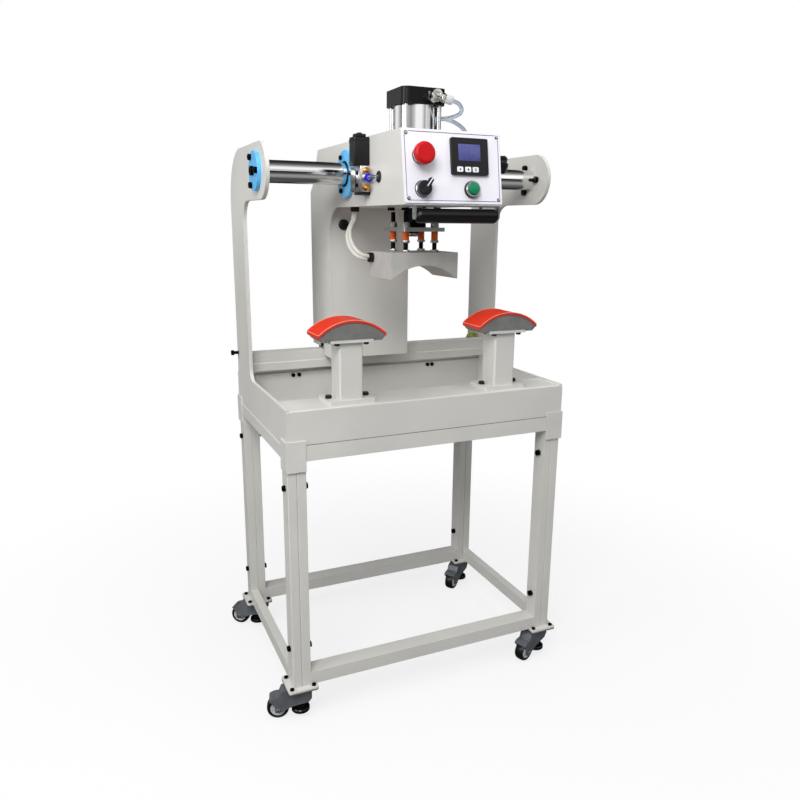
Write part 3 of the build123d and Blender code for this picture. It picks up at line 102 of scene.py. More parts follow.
def turned(profile, steps=48):
    """Solid turned about Z from (radius, height) points that start and end on the axis."""
    bm = bmesh.new()
    points = [bm.verts.new((radius, 0, height)) for radius, height in profile]
    edges = [bm.edges.new(pair) for pair in zip(points, points[1:])]
    bmesh.ops.spin(bm, geom=points + edges, cent=(0, 0, 0), axis=(0, 0, 1), angle=math.tau,
                   steps=steps, use_merge=True, use_duplicate=False)
    bmesh.ops.remove_doubles(bm, verts=bm.verts, dist=0.001)
    bmesh.ops.recalc_face_normals(bm, faces=bm.faces)
    return bm


def ring(profile, steps=48):
    """Ring turned about Z from a closed loop of (radius, height) points."""
    return turned(profile + profile[:1], steps)


def prism(radius, height, sides=6, edge=0.4):
    """Hexagon or other prism standing on the XY plane, with its rims broken."""
    bm = bmesh.new()
    bmesh.ops.create_cone(bm, cap_ends=True, segments=sides, radius1=radius, radius2=radius, depth=height)
    bmesh.ops.translate(bm, vec=(0, 0, height / 2), verts=bm.verts)
    rims = [e for e in bm.edges if abs(e.verts[0].co.z - e.verts[1].co.z) < 1e-6]
    bmesh.ops.bevel(bm, geom=rims, offset=edge, affect="EDGES", segments=2, profile=0.5, material=-1)
    return bm


def put(bm, shape, matrix=None):
    """Add a shape to a piece, at a place."""
    if matrix is not None:
        bmesh.ops.transform(shape, matrix=matrix, verts=shape.verts)
    mesh = bpy.data.meshes.new("shape")
    shape.to_mesh(mesh)
    shape.free()
    bm.from_mesh(mesh)
    bpy.data.meshes.remove(mesh)


def aim(origin, along):
    """Matrix whose Z points along a direction, at a point."""
    z = Vector(along).normalized()
    x = Vector((0, 0, 1)).cross(z)
    x = x.normalized() if x.length > 1e-4 else Vector((1, 0, 0))
    return Matrix.Translation(origin) @ Matrix((x, z.cross(x), z)).transposed().to_4x4()


def piece(name, bm, finish, body, stands_for=()):
    """Finish a mesh, give it its material and let it ride on a body."""
    bmesh.ops.scale(bm, vec=(0.001, 0.001, 0.001), verts=bm.verts)
    for face in bm.faces:
        face.smooth = True
    for edge in bm.edges:
        edge.smooth = len(edge.link_faces) == 2 and edge.calc_face_angle(0) < math.radians(35)
    mesh = bpy.data.meshes.new(name)
    bm.to_mesh(mesh)
    bm.free()
    mesh.materials.append(finish)
    obj = bpy.data.objects.new(name, mesh)
    bpy.context.scene.collection.objects.link(obj)
    if body:
        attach(obj, body)
    if stands_for:
        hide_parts(*stands_for)
    return obj


# %% [markdown]
# ## Helpers for materials
# Colours are written as sRGB hex and turned to linear. One function adds a node, sets it, links it and
# gives it its colour stops.
# Material patterns use object coordinates in metres, so a noise scale of 500 / size gives features of
# about that size in millimetres.

# %% Materials
def linear(code):
    """Opaque linear colour from an sRGB hex code."""
    values = [int(code[i:i + 2], 16) / 255 for i in (0, 2, 4)]
    values = [v / 12.92 if v <= 0.04045 else ((v + 0.055) / 1.055) ** 2.4 for v in values]
    return (*values, 1.0)


def add(tree, kind, values=None, links=None, stops=(), **settings):
    """Add a node with its settings, sockets' values, links from other outputs, and (position, hex) stops."""
    made = tree.nodes.new(kind)
    for key, value in settings.items():
        setattr(made, key, value)
    for key, value in (values or {}).items():
        made.inputs[key].default_value = value
    for key, source in (links or {}).items():
        tree.links.new(source, made.inputs[key])
    for number, (position, code) in enumerate(stops):
        marks = made.color_ramp.elements
        if number in (0, len(stops) - 1):
            mark = marks[0 if number == 0 else -1]
            mark.position = position
        else:
            mark = marks.new(position)
        mark.color = linear(code)
    return made


def start(name, code, **values):
    """New material with a plain Principled shader and object coordinates."""
    finish = bpy.data.materials.new(name)
    finish.use_nodes = True
    tree = finish.node_tree
    shader = tree.nodes["Principled BSDF"]
    shader.inputs["Base Color"].default_value = linear(code)
    for key, value in values.items():
        shader.inputs[key.replace("_", " ")].default_value = value
    place = add(tree, "ShaderNodeTexCoord").outputs["Object"]
    return finish, tree, shader, place


# %% [markdown]
# ## Powder coat
# The frames, plates and tray are mild steel with a warm light grey powder coat. Powder melts into a
# skin with a faint orange peel about a millimetre across, and it rounds every edge. The Bevel node
# gives the edges of the exact solids that roundness, and a slow noise keeps large faces from being
# one flat tone.

# %% Powder coat
def powder_coat(name, low, high, roughness):
    """Baked powder: orange peel, soft edges, cloudy tone."""
    finish, tree, shader, place = start(name, high, Roughness=roughness)
    cloud = add(tree, "ShaderNodeTexNoise", {"Scale": 6.0, "Detail": 3.0}, {"Vector": place})
    tone = add(tree, "ShaderNodeValToRGB", links={"Fac": cloud.outputs["Fac"]},
               stops=[(0.35, low), (0.65, high)])
    tree.links.new(tone.outputs["Color"], shader.inputs["Base Color"])
    peel = add(tree, "ShaderNodeTexNoise", {"Scale": 700.0, "Detail": 2.0}, {"Vector": place})
    edge = add(tree, "ShaderNodeBevel", {"Radius": 0.0008}, samples=4)
    bump = add(tree, "ShaderNodeBump", {"Strength": 0.08, "Distance": 0.0004},
               {"Height": peel.outputs["Fac"], "Normal": edge.outputs["Normal"]})
    tree.links.new(bump.outputs["Normal"], shader.inputs["Normal"])
    return finish


grey_powder = powder_coat("powder_coated_steel_warm_grey", "CDCCC7", "D3D2CD", 0.42)
panel_powder = powder_coat("powder_coated_panel_cool_white", "EAE9F2", "EFEEF6", 0.34)

# %% [markdown]
# ## Metals
# Hard chrome on the tube and barrel is a mirror with faint grinding rings. Zinc plate on rods and nuts
# is softer. Sand-cast and machined aluminium is pale and rough. Black oxide is a thin skin on steel
# that still shines a little.

# %% Metals
def metal(name, low, high, roughness, grain, strength, spread=0.06):
    """Metal with a fine grain in its roughness and bump; grain is its size in millimetres."""
    finish, tree, shader, place = start(name, high, Metallic=1.0, Roughness=roughness)
    rub = add(tree, "ShaderNodeTexNoise", {"Scale": 500.0 / grain, "Detail": 4.0}, {"Vector": place})
    tone = add(tree, "ShaderNodeValToRGB", links={"Fac": rub.outputs["Fac"]}, stops=[(0.3, low), (0.7, high)])
    tree.links.new(tone.outputs["Color"], shader.inputs["Base Color"])
    span = add(tree, "ShaderNodeMapRange", {"To Min": roughness - spread, "To Max": roughness + spread},
               {"Value": rub.outputs["Fac"]})
    tree.links.new(span.outputs["Result"], shader.inputs["Roughness"])
    edge = add(tree, "ShaderNodeBevel", {"Radius": 0.0005}, samples=4)
    bump = add(tree, "ShaderNodeBump", {"Strength": strength, "Distance": 0.0002},
               {"Height": rub.outputs["Fac"], "Normal": edge.outputs["Normal"]})
    tree.links.new(bump.outputs["Normal"], shader.inputs["Normal"])
    return finish


hard_chrome = metal("hard_chrome_ground_and_polished", "E2E2E2", "E8E8E8", 0.12, 0.5, 0.01, 0.01)
zinc_plate = metal("zinc_plated_steel", "B4B5B3", "CACBC9", 0.34, 3.0, 0.10)
black_oxide = metal("black_oxide_steel", "08080A", "141416", 0.42, 2.0, 0.10)
machined_aluminium = metal("machined_aluminium", "C9CACC", "DCDDDF", 0.30, 2.0, 0.10)
nickel_plate = metal("nickel_plated_brass", "B8B6B2", "CFCDC8", 0.20, 2.0, 0.06)
brass = metal("turned_brass", "B87A2C", "DDA04C", 0.30, 2.0, 0.10)


def split_metal(name, height, lower, upper):
    """One steel part in two finishes, each (hex, roughness), that meet at a height in metres."""
    finish, tree, shader, place = start(name, upper[0], Metallic=1.0)
    level = add(tree, "ShaderNodeSeparateXYZ", links={"Vector": place}).outputs["Z"]
    over = add(tree, "ShaderNodeMath", {1: height}, {0: level}, operation="GREATER_THAN").outputs["Value"]
    tone = add(tree, "ShaderNodeValToRGB", links={"Fac": over}, stops=[(0.0, lower[0]), (1.0, upper[0])])
    tree.links.new(tone.outputs["Color"], shader.inputs["Base Color"])
    gloss = add(tree, "ShaderNodeMapRange", {"To Min": lower[1], "To Max": upper[1]}, {"Value": over})
    tree.links.new(gloss.outputs["Result"], shader.inputs["Roughness"])
    edge = add(tree, "ShaderNodeBevel", {"Radius": 0.0005}, samples=4)
    tree.links.new(edge.outputs["Normal"], shader.inputs["Normal"])
    return finish


# The rods turn black where their lower nuts begin; the ram's plate turns black at the foot of its hub.
ROD_SPLIT, HUB_SPLIT = 1.1135, 1.0742
rods_black_below = split_metal("chromed_rods_with_black_nuts", ROD_SPLIT, ("141416", 0.4), ("DADADA", 0.14))
plate_black_hub = split_metal("zinc_plate_with_black_hub", HUB_SPLIT, ("BCBDBB", 0.36), ("141416", 0.4))

# %% [markdown]
# ## Cast and anodised aluminium
# The saddles and the platen are sand castings, sawn and blasted: no mirror, a fine grit of about a
# millimetre, and pale worn edges. The cylinder's caps and the flanges are anodised: a hard coloured
# skin, so they are shaded as a satin coating and not as bare metal.

# %% Cast and anodised parts
def cast(name, low, high, roughness, metallic):
    """Blasted casting: pits about a millimetre across and a cloudy tone."""
    finish, tree, shader, place = start(name, high, Roughness=roughness, Metallic=metallic)
    cloud = add(tree, "ShaderNodeTexNoise", {"Scale": 35.0, "Detail": 6.0}, {"Vector": place})
    tone = add(tree, "ShaderNodeValToRGB", links={"Fac": cloud.outputs["Fac"]},
               stops=[(0.35, low), (0.65, high)])
    tree.links.new(tone.outputs["Color"], shader.inputs["Base Color"])
    grit = add(tree, "ShaderNodeTexNoise", {"Scale": 1200.0, "Detail": 2.0}, {"Vector": place})
    edge = add(tree, "ShaderNodeBevel", {"Radius": 0.0008}, samples=4)
    bump = add(tree, "ShaderNodeBump", {"Strength": 0.35, "Distance": 0.0003},
               {"Height": grit.outputs["Fac"], "Normal": edge.outputs["Normal"]})
    tree.links.new(bump.outputs["Normal"], shader.inputs["Normal"])
    return finish


saddle_cast = cast("sand_cast_aluminium_grey", "70706F", "7C7C7A", 0.55, 0.1)
platen_cast = cast("blasted_aluminium_platen", "B4B2AE", "BCBAB6", 0.50, 0.1)
cap_anodised = cast("black_anodised_aluminium", "060607", "0C0C0E", 0.26, 0.0)
# The caps' dyed skin mirrors less than the other castings.
cap_anodised.node_tree.nodes["Principled BSDF"].inputs["Specular IOR Level"].default_value = 0.22
blue_anodised = cast("sky_blue_anodised_flange", "4FAEEA", "66BEF2", 0.38, 0.0)
castor_zinc = cast("grey_painted_castor_casting", "5C5F64", "6E7277", 0.40, 0.25)

# %% [markdown]
# ## Rubber, foam and plastics
# Silicone pads are matte with a slight skin. Foam grips have pores under a millimetre. Moulded plastics
# differ mostly in gloss, so one recipe with a fine spark-eroded grain serves them all.

# %% Rubber, foam and plastics
def moulded(name, low, high, roughness, grain=0.4, strength=0.12):
    """Moulded plastic or rubber with a fine mould grain; grain is its size in millimetres."""
    finish, tree, shader, place = start(name, high, Roughness=roughness, IOR=1.38)
    fine = add(tree, "ShaderNodeTexNoise", {"Scale": 500.0 / grain, "Detail": 2.0}, {"Vector": place})
    tone = add(tree, "ShaderNodeValToRGB", links={"Fac": fine.outputs["Fac"]},
               stops=[(0.35, low), (0.65, high)])
    tree.links.new(tone.outputs["Color"], shader.inputs["Base Color"])
    edge = add(tree, "ShaderNodeBevel", {"Radius": 0.0006}, samples=4)
    bump = add(tree, "ShaderNodeBump", {"Strength": strength, "Distance": 0.0002},
               {"Height": fine.outputs["Fac"], "Normal": edge.outputs["Normal"]})
    tree.links.new(bump.outputs["Normal"], shader.inputs["Normal"])
    return finish


red_silicone = moulded("red_silicone_sponge", "CE2E16", "DA381E", 0.5, 1.0, 0.25)
foam = moulded("black_nitrile_foam", "050506", "0A0A0B", 0.36, 0.8, 0.12)
black_abs = moulded("black_abs_spark_eroded", "0C0C0E", "131316", 0.40)
gloss_abs = moulded("black_abs_polished", "08080A", "0D0D10", 0.16, 0.4, 0.02)
coil_resin = moulded("black_epoxy_coil", "0A0A0C", "111114", 0.42, 0.8, 0.2)
knob_plastic = moulded("dark_phenolic_knob", "14121A", "1D1B24", 0.24)
red_plastic = moulded("red_abs_polished", "B4000A", "BE020E", 0.40, 0.4, 0.03)
# Pale red: painted highlight for the light line along the pads' rounded upper edges.
bead_painted_highlight = moulded("pale_red_bead_painted_highlight", "F08C78", "F49A88", 0.45)
# Dark grey: painted shadow for the gap under the aprons.
shadow_strip_paint = moulded("dark_grey_painted_shadow", "565654", "62625F", 0.6)
green_plastic = moulded("green_polycarbonate_cap", "0A7450", "0E8058", 0.30, 0.4, 0.03)
pale_hub = moulded("pale_polypropylene_hub", "C4C6C8", "D4D6D8", 0.36)
white_plastic = moulded("white_abs", "E6E6EA", "F0F0F3", 0.35)
grey_plastic = moulded("light_grey_nylon", "B9BBBE", "C8CACD", 0.40)
blue_plastic = moulded("blue_acetal_ring", "0C10B8", "1418D0", 0.28)
orange_board = moulded("orange_heat_board", "CF5510", "E06418", 0.60, 1.0, 0.3)
tyre_rubber = moulded("black_polyurethane_tyre", "0A0A0C", "121214", 0.34)
border_ink = moulded("screen_printed_border", "4A466E", "545078", 0.5)
lcd_glass = moulded("lcd_behind_glass", "4A4C86", "52548E", 0.16, 2.0, 0.0)
earth_yellow = moulded("yellow_green_earth_wire", "98A03C", "A8B048", 0.45)

# %% [markdown]
# ## Polyurethane air hose
# The hose is a clear tube. Its wall bends light, so it is mostly edges and glints.

# %% Air hose
clear_hose, tree, shader, place = start("clear_polyurethane_hose", "B8C0CE", Roughness=0.08,
                                        Transmission_Weight=0.92, IOR=1.5)
haze = add(tree, "ShaderNodeTexNoise", {"Scale": 60.0, "Detail": 2.0}, {"Vector": place})
tone = add(tree, "ShaderNodeValToRGB", links={"Fac": haze.outputs["Fac"]},
           stops=[(0.4, "A4AEC2"), (0.6, "C4CCD8")])
tree.links.new(tone.outputs["Color"], shader.inputs["Base Color"])

# %% [markdown]
# ## Finishes of the solids
# Most solids are shown as they are, so each only needs its material in every slot.

# %% Which solid gets which finish
finishes = {
    grey_powder: ["left_side_frame", "right_side_frame", "front_frame", "rear_frame", "left_side_plate",
                  "right_side_plate", "base_tray", "rear_beam", "mould_posts", "carriage_left_plate",
                  "carriage_right_plate", "carriage_web", "carriage_cover"],
    panel_powder: ["control_panel"],
    hard_chrome: ["guide_tube", "cylinder_barrel"],
    zinc_plate: ["castor_mounts", "handle_bracket"],
    rods_black_below: ["ram_rod", "cylinder_tie_rods"],
    plate_black_hub: ["ram_plate"],
    black_oxide: ["frame_bolts", "carriage_bolts"],
    blue_anodised: ["end_flanges", "slide_bushes"],
    saddle_cast: ["mould_saddles"],
    platen_cast: ["heater_platen"],
    cap_anodised: ["cylinder_caps"],
    red_silicone: ["mould_pads"],
    foam: ["handle_grip"],
    knob_plastic: ["selector_knob"],
    red_plastic: ["estop_button"],
    green_plastic: ["start_button"],
    white_plastic: ["controller_key_down", "controller_key_up", "controller_key_set"],
    orange_board: ["ram_bushings"],
    clear_hose: ["air_hoses"],
    castor_zinc: [name for name in nodes if name.startswith("castor_fork_")],
    tyre_rubber: [name for name in nodes if name.startswith("castor_wheel_")],
    black_abs: ["guide_shoe", "controller", "heater_gland", "regulator_knob"],
    gloss_abs: [name for name in nodes if name.startswith("castor_foot_")],
}
for finish, names in finishes.items():
    for name in names:
        for material_slot in nodes[name].material_slots:
            material_slot.material = finish
print("finished solids:", sum(len(names) for names in finishes.values()))

# %% [markdown]
# ## The panel's border
# A printed line runs round the panel a few millimetres inside its edge and stops short of the four
# corner screws. Four thin strips stand for the ink.

# %% Panel frame and border
ARM_MIDDLE, ARM_LEFT, ARM_RIGHT = -34.0, -136.5, 68.5
LEAN = math.atan2(20.0, 131.0)
PANEL_MIDDLE = Vector((ARM_MIDDLE, -350.0, 1184.5))
PANEL_OUT = Vector((0, -math.cos(LEAN), math.sin(LEAN)))
PANEL_UP = Vector((0, math.sin(LEAN), math.cos(LEAN)))
PANEL_WIDTH = 205.0
PANEL_TALL = 131.0 / math.cos(LEAN)


def on_panel(across, up, out=0.0):
    """Matrix on the panel's face: X across, Y up the panel, Z out of it."""
    origin = PANEL_MIDDLE + Vector((across, 0, 0)) + up * PANEL_UP + out * PANEL_OUT
    return Matrix.Translation(origin) @ Matrix(((1, 0, 0), PANEL_UP, PANEL_OUT)).transposed().to_4x4()


border = bmesh.new()
BORDER_INSET, BORDER_LINE, CORNER_GAP = 5.0, 1.1, 7.0
for side in (-1, 1):
    long_run = PANEL_WIDTH - 2 * BORDER_INSET - 2 * CORNER_GAP
    tall_run = PANEL_TALL - 2 * BORDER_INSET - 2 * CORNER_GAP
    put(border, block((long_run, BORDER_LINE, 0.16)),
        on_panel(0, side * (PANEL_TALL / 2 - BORDER_INSET), 0.08))
    put(border, block((BORDER_LINE, tall_run, 0.16)),
        on_panel(side * (PANEL_WIDTH / 2 - BORDER_INSET), 0, 0.08))
piece("panel_border", border, border_ink, "carriage")

# Bright nickel discs raised on the middles of the four dark corner screws: painted highlight on their heads.
SCREW_INSET = 8.0
screws = bmesh.new()
for side in (-1, 1):
    for end in (-1, 1):
        put(screws, turned([(0, 1.6), (2.3, 1.6), (2.3, 2.2), (1.9, 2.5), (0, 2.5)], 24),
            on_panel(side * (PANEL_WIDTH / 2 - SCREW_INSET), end * (PANEL_TALL / 2 - SCREW_INSET)))
piece("panel_screw_painted_highlights", screws, nickel_plate, "carriage")

# %% [markdown]
# ## Switch bezels
# Each switch has a black sealing ring on the panel. The start button and the selector carry a bright
# metal ring on it, and the stop button a grey collar. The green cap sits inside its ring with a hair
# of air all round, so it can be pressed. All of them are turned profiles.

# %% Switch bezels
ESTOP, SELECTOR, START = (-68.0, 18.5), (-66.0, -41.0), (36.5, -40.0)
seals = bmesh.new()
for at in (ESTOP, SELECTOR):
    put(seals, ring([(8.1, 0.05), (15.6, 0.05), (15.6, 1.6), (15.0, 2.4), (8.1, 2.4)]), on_panel(*at))
put(seals, ring([(11.2, 0.05), (15.8, 0.05), (15.8, 5.2), (15.2, 5.8), (11.2, 5.8)]), on_panel(*START))
piece("switch_seals", seals, gloss_abs, "carriage", ["panel_bezels"])

rings = bmesh.new()
put(rings, ring([(11.6, 5.6), (14.9, 5.6), (14.9, 8.6), (14.0, 9.6), (12.4, 9.6), (11.6, 8.8)]),
    on_panel(*START))
put(rings, ring([(8.1, 2.4), (15.0, 2.4), (15.0, 4.8), (14.0, 6.0), (8.1, 6.0)]), on_panel(*SELECTOR))
piece("switch_rings", rings, nickel_plate, "carriage")

green = bmesh.new()
put(green, turned([(0, 7.0), (11.0, 7.0), (11.0, 12.6), (10.4, 13.6), (8.8, 14.1), (0, 14.4)]),
    on_panel(*START))
piece("start_cap", green, green_plastic, "start", ["start_button"])

collar = ring([(8.1, 2.4), (14.6, 2.4), (13.6, 9.4), (13.0, 10.0), (8.1, 10.0)])
collars = bmesh.new()
put(collars, collar, on_panel(*ESTOP))
piece("estop_collar", collars, grey_plastic, "carriage")

# %% [markdown]
# ## The selector's white line
# A white inlay on the lever shows the chosen side. It runs along the lever's top and down its end.

# %% Selector line
LEVER_TURN = Matrix.Rotation(math.radians(52.0), 4, "Z")
line = bmesh.new()
for size, out, along in (((17.0, 2.0, 0.4), 19.35, 10.5), ((3.0, 2.0, 5.4), 16.8, 19.7)):
    put(line, block(size, 0.15), on_panel(*SELECTOR, out) @ LEVER_TURN @ Matrix.Translation((along, 0, 0)))
piece("selector_line", line, white_plastic, "selector")

# %% [markdown]
# ## The controller's window and key marks
# The display lies behind a flat window. Each white key has a small dark mark: down, up and a ring.

# %% Controller window and key marks
CONTROLLER_X, CONTROLLER_Y = 33.0, 19.5
SCREEN = (CONTROLLER_X - 1.0, CONTROLLER_Y + 7.0)
window = bmesh.new()
put(window, block((46.6, 30.6, 0.5), 0.15), on_panel(*SCREEN, 5.7))
piece("controller_window", window, lcd_glass, "carriage")

KEY_SHIFTS = {"down": -22.4, "up": -5.4, "set": 10.7}
KEY_ROW, KEY_FACE = CONTROLLER_Y - 24.0, 7.1
for name, shift in KEY_SHIFTS.items():
    at = (CONTROLLER_X + shift, KEY_ROW)
    mark = bmesh.new()
    if name == "set":
        put(mark, ring([(1.5, 0), (2.5, 0), (2.5, 0.15), (1.5, 0.15)], 24), on_panel(*at, KEY_FACE))
    else:
        turn = Matrix.Rotation(math.radians(90 if name == "up" else -90), 4, "Z")
        put(mark, prism(2.9, 0.15, 3, 0.02), on_panel(*at, KEY_FACE) @ turn)
    piece(f"key_mark_{name}", mark, black_abs, f"key_{name}")

# %% [markdown]
# ## Regulator knob
# The pressure knob is pulled out and turned. A bright ring closes its outer end.

# %% Regulator ring
KNOB_END = (ARM_RIGHT + 31.3, -308.0, 1196.0)
knob_end = bmesh.new()
put(knob_end, ring([(9.0, -1.6), (17.2, -1.6), (17.2, 0.8), (16.2, 1.6), (9.0, 1.6)]), aim(KNOB_END, (1, 0, 0)))
piece("regulator_ring", knob_end, nickel_plate, "regulator")

# %% [markdown]
# ## Solenoid valve
# The valve is a machined block with two screws and a thin black strip between them, which is painted
# shade for a groove. Its coil is cast in black resin, with ribs where the mould closed.

# %% Valve body and coil
VALVE_MID = ARM_LEFT - 21.5 / 2
VALVE_FRONT, VALVE_Z = -190.0, 1168.0
COIL_X, COIL_Y = ARM_LEFT - 17.0, -174.0
body = bmesh.new()
put(body, block((21.3, 57.0, 50.0), 1.2), Matrix.Translation((VALVE_MID - 0.05, -161.5, VALVE_Z)))
piece("valve_block", body, machined_aluminium, "carriage", ["valve_body"])

marks = bmesh.new()
for z in (1156.0, 1180.0):
    put(marks, turned([(0, 0), (4.2, 0), (4.2, 1.4), (3.6, 2.0), (2.2, 2.0), (2.2, 0.6), (0, 0.6)], 24),
        aim((ARM_LEFT - 21.4, -173.0, z), (-1, 0, 0)))
# A thin black strip standing proud of the face: painted shade for the groove between the screws.
put(marks, block((0.5, 3.4, 40.0), 0.2), Matrix.Translation((ARM_LEFT - 21.6, -163.0, VALVE_Z)))
piece("valve_screws_and_painted_groove_shade", marks, black_oxide, "carriage")

coil = bmesh.new()
put(coil, block((34.0, 28.0, 54.6), 2.4, 3), Matrix.Translation((COIL_X, COIL_Y, 1220.4)))
for z in (1199.0, 1241.0):
    put(coil, block((35.0, 29.0, 1.6), 0.6), Matrix.Translation((COIL_X - 0.4, COIL_Y, z)))
put(coil, block((22.0, 18.0, 6.2), 1.2), Matrix.Translation((COIL_X, COIL_Y, 1250.8)))
put(coil, prism(5.0, 2.6), Matrix.Translation((COIL_X, COIL_Y, 1253.8)))
piece("valve_coil_case", coil, coil_resin, "carriage", ["valve_coil"])

# %% [markdown]
# ## Valve ports
# The ports are in the valve's front face. The silencers above and below are sintered brass with a
# hexagon. The hose between them pushes into a fitting with a blue release ring.

# %% Silencers and push-in fitting
silencers = bmesh.new()
for z in (1184.0, 1150.5):
    at = aim((VALVE_MID, VALVE_FRONT, z), (0, -1, 0))
    put(silencers, prism(6.5, 5.0), at)
    put(silencers, turned([(0, 5.0), (4.6, 5.0), (4.6, 5.8), (5.4, 6.2), (5.4, 12.2), (3.6, 14.6),
                           (0, 15.0)], 24), at)
piece("silencers", silencers, brass, "carriage")

push_in = bmesh.new()
at = aim((VALVE_MID, VALVE_FRONT, 1170.0), (0, -1, 0))
put(push_in, prism(7.6, 4.0), at)
put(push_in, turned([(0, 4.0), (7.4, 4.0), (7.6, 4.6), (7.6, 12.6), (7.0, 13.2), (0, 13.2)], 32), at)
piece("push_in_body", push_in, nickel_plate, "carriage", ["carriage_fittings"])
release = bmesh.new()
put(release, ring([(4.1, 13.0), (7.9, 13.0), (8.0, 14.0), (8.0, 18.0), (7.2, 19.0), (4.1, 19.0)]), at)
piece("push_in_ring", release, blue_plastic, "carriage")

# %% [markdown]
# ## Other fittings
# An elbow on the top cap turns the air hose aside. Glands hold the heater cable and the wiring, a rubber
# grommet lines the hose's hole, and the air inlet and mains gland are in the rear cover.

# %% Elbow, grommet and glands
elbow = bmesh.new()
ELBOW = Vector((-18.0, -226.0, 1326.0))
put(elbow, prism(13.4, 6.0), aim(ELBOW, (0, -1, 0)))
put(elbow, turned([(0, 5.0), (10.0, 5.0), (10.0, 7.4), (12.4, 8.2), (12.4, 19.4), (11.2, 21.6), (6.0, 22.2),
                   (6.0, 21.0), (0, 21.0)]), aim(ELBOW, (0, -1, 0)))
REACH = Vector((34.0, -5.0, -9.0))
arm = aim(ELBOW + Vector((0, -14.0, 0)), REACH)
put(elbow, turned([(0, 0), (7.6, 0), (7.6, 21.0), (0, 21.0)], 32), arm)
put(elbow, prism(9.6, 7.0), arm @ Matrix.Translation((0, 0, 11.5)))
piece("port_elbow", elbow, nickel_plate, "carriage")
collet = bmesh.new()
put(collet, ring([(4.1, 20.5), (8.6, 20.5), (8.8, 21.4), (8.8, 32.0), (7.8, 35.0), (4.1, 35.5)]), arm)
piece("elbow_collet", collet, grey_plastic, "carriage")

rubber = bmesh.new()
put(rubber, ring([(4.35, -0.1), (11.5, -0.1), (11.4, 1.2), (10.2, 2.4), (7.4, 2.5), (6.4, 1.4), (4.35, 1.0)]),
    aim((ARM_LEFT, -236.0, 1170.0), (-1, 0, 0)))
put(rubber, block((24.0, 30.0, 5.9), 1.0), Matrix.Translation((ARM_LEFT - 12.0, -175.0, 1140.0)))
dome = [(0, 0), (12.5, 0), (12.5, 4.0), (11.0, 4.6), (11.0, 8.4), (9.2, 10.0), (0, 10.0)]
put(rubber, turned(dome), aim((-101.0, 72.0, 1077.0), (0, -1, 0)))
cable_gland = ring([(7.4, 0), (10.0, 0), (10.0, 5.0), (9.6, 5.6), (9.6, 8.4), (8.8, 10.0), (7.4, 10.0)])
put(rubber, cable_gland, aim((-114.0, -41.0, 1116.0), (0, 0, -1)))
piece("rubber_and_glands", rubber, black_abs, "carriage")

rear_ports = bmesh.new()
for z, bore in ((900.0, 4.05), (860.0, 4.0)):
    at = aim((-80.0, 215.0, z), (0, 1, 0))
    put(rear_ports, ring([(bore, 0), (11.0, 0), (11.0, 5.6), (10.4, 6.2), (9.0, 6.2), (9.0, 12.8),
                          (7.8, 14.0), (bore, 14.0)], 36), at)
    put(rear_ports, ring([(bore, -10.0), (6.9, -10.0), (6.9, 0), (bore, 0)], 36), at)
piece("rear_ports", rear_ports, nickel_plate, "carriage")

# %% [markdown]
# ## Seals of the slide bushes
# A black wiper ring keeps dust out where the tube enters each blue flange.

# %% Tube seals
seals = bmesh.new()
TUBE_Y, TUBE_Z, FLANGE_THICK = -60.0, 1184.0, 8.0
for x, way in ((ARM_LEFT - FLANGE_THICK, -1), (ARM_RIGHT + FLANGE_THICK, 1)):
    put(seals, ring([(23.12, 0), (27.0, 0), (26.6, 1.6), (25.0, 2.4), (23.12, 2.4)]),
        aim((x, TUBE_Y, TUBE_Z), (way, 0, 0)))
piece("tube_seals", seals, black_abs, "carriage")

# %% [markdown]
# ## Studs of the ram
# Four black threaded rods carry the platen. Each has a bright nut above the ram's plate, one under the
# heat bushing and one on the platen. The thread is a wave in colour and bump.

# %% Ram studs and nuts
PRESS_Y = -178.5
THREAD_PITCH = 0.0016
threaded, tree, shader, place = start("black_threaded_rod", "1A1A1B", Metallic=1.0, Roughness=0.4)
# A wave texture repeats every 0.314 / scale metres.
turns = add(tree, "ShaderNodeTexWave", {"Scale": 0.314 / THREAD_PITCH}, {"Vector": place}, bands_direction="Z")
tone = add(tree, "ShaderNodeValToRGB", links={"Fac": turns.outputs["Fac"]},
           stops=[(0.2, "0A0A0B"), (0.8, "2C2C2E")])
tree.links.new(tone.outputs["Color"], shader.inputs["Base Color"])
bump = add(tree, "ShaderNodeBump", {"Strength": 0.6, "Distance": 0.0006}, {"Height": turns.outputs["Fac"]})
tree.links.new(bump.outputs["Normal"], shader.inputs["Normal"])

STUDS = [(ARM_MIDDLE + sx * 33.0, PRESS_Y + sy * 32.5) for sx in (-1, 1) for sy in (-1, 1)]
rods, nuts = bmesh.new(), bmesh.new()
for x, y in STUDS:
    put(rods, turned([(0, 1012.5), (4.7, 1012.5), (4.7, 1104.2), (4.0, 1105.0), (0, 1105.0)], 24),
        Matrix.Translation((x, y, 0)))
    for z in (1024.0, 1043.0, 1074.0):
        put(nuts, prism(8.5, 5.0), Matrix.Translation((x, y, z)))
    put(nuts, ring([(4.75, 0), (8.8, 0), (8.8, 1.0), (4.75, 1.0)], 32), Matrix.Translation((x, y, 1079.0)))
    put(nuts, prism(8.0, 4.6), Matrix.Translation((x, y, 1080.0)))
piece("ram_rods", rods, threaded, "ram", ["ram_studs"])
piece("ram_nuts", nuts, zinc_plate, "ram")

# The rod's screw comes through the plate into a black washer and a pale nut.
washer = bmesh.new()
put(washer, turned([(0, 0), (12.0, 0), (12.0, 3.0), (0, 3.0)]),
    Matrix.Translation((ARM_MIDDLE, PRESS_Y, 1063.0)))
piece("rod_washer", washer, black_oxide, "ram")
rod_nut = bmesh.new()
put(rod_nut, prism(10.0, 8.0), Matrix.Translation((ARM_MIDDLE, PRESS_Y, 1055.0)))
piece("rod_nut", rod_nut, nickel_plate, "ram")
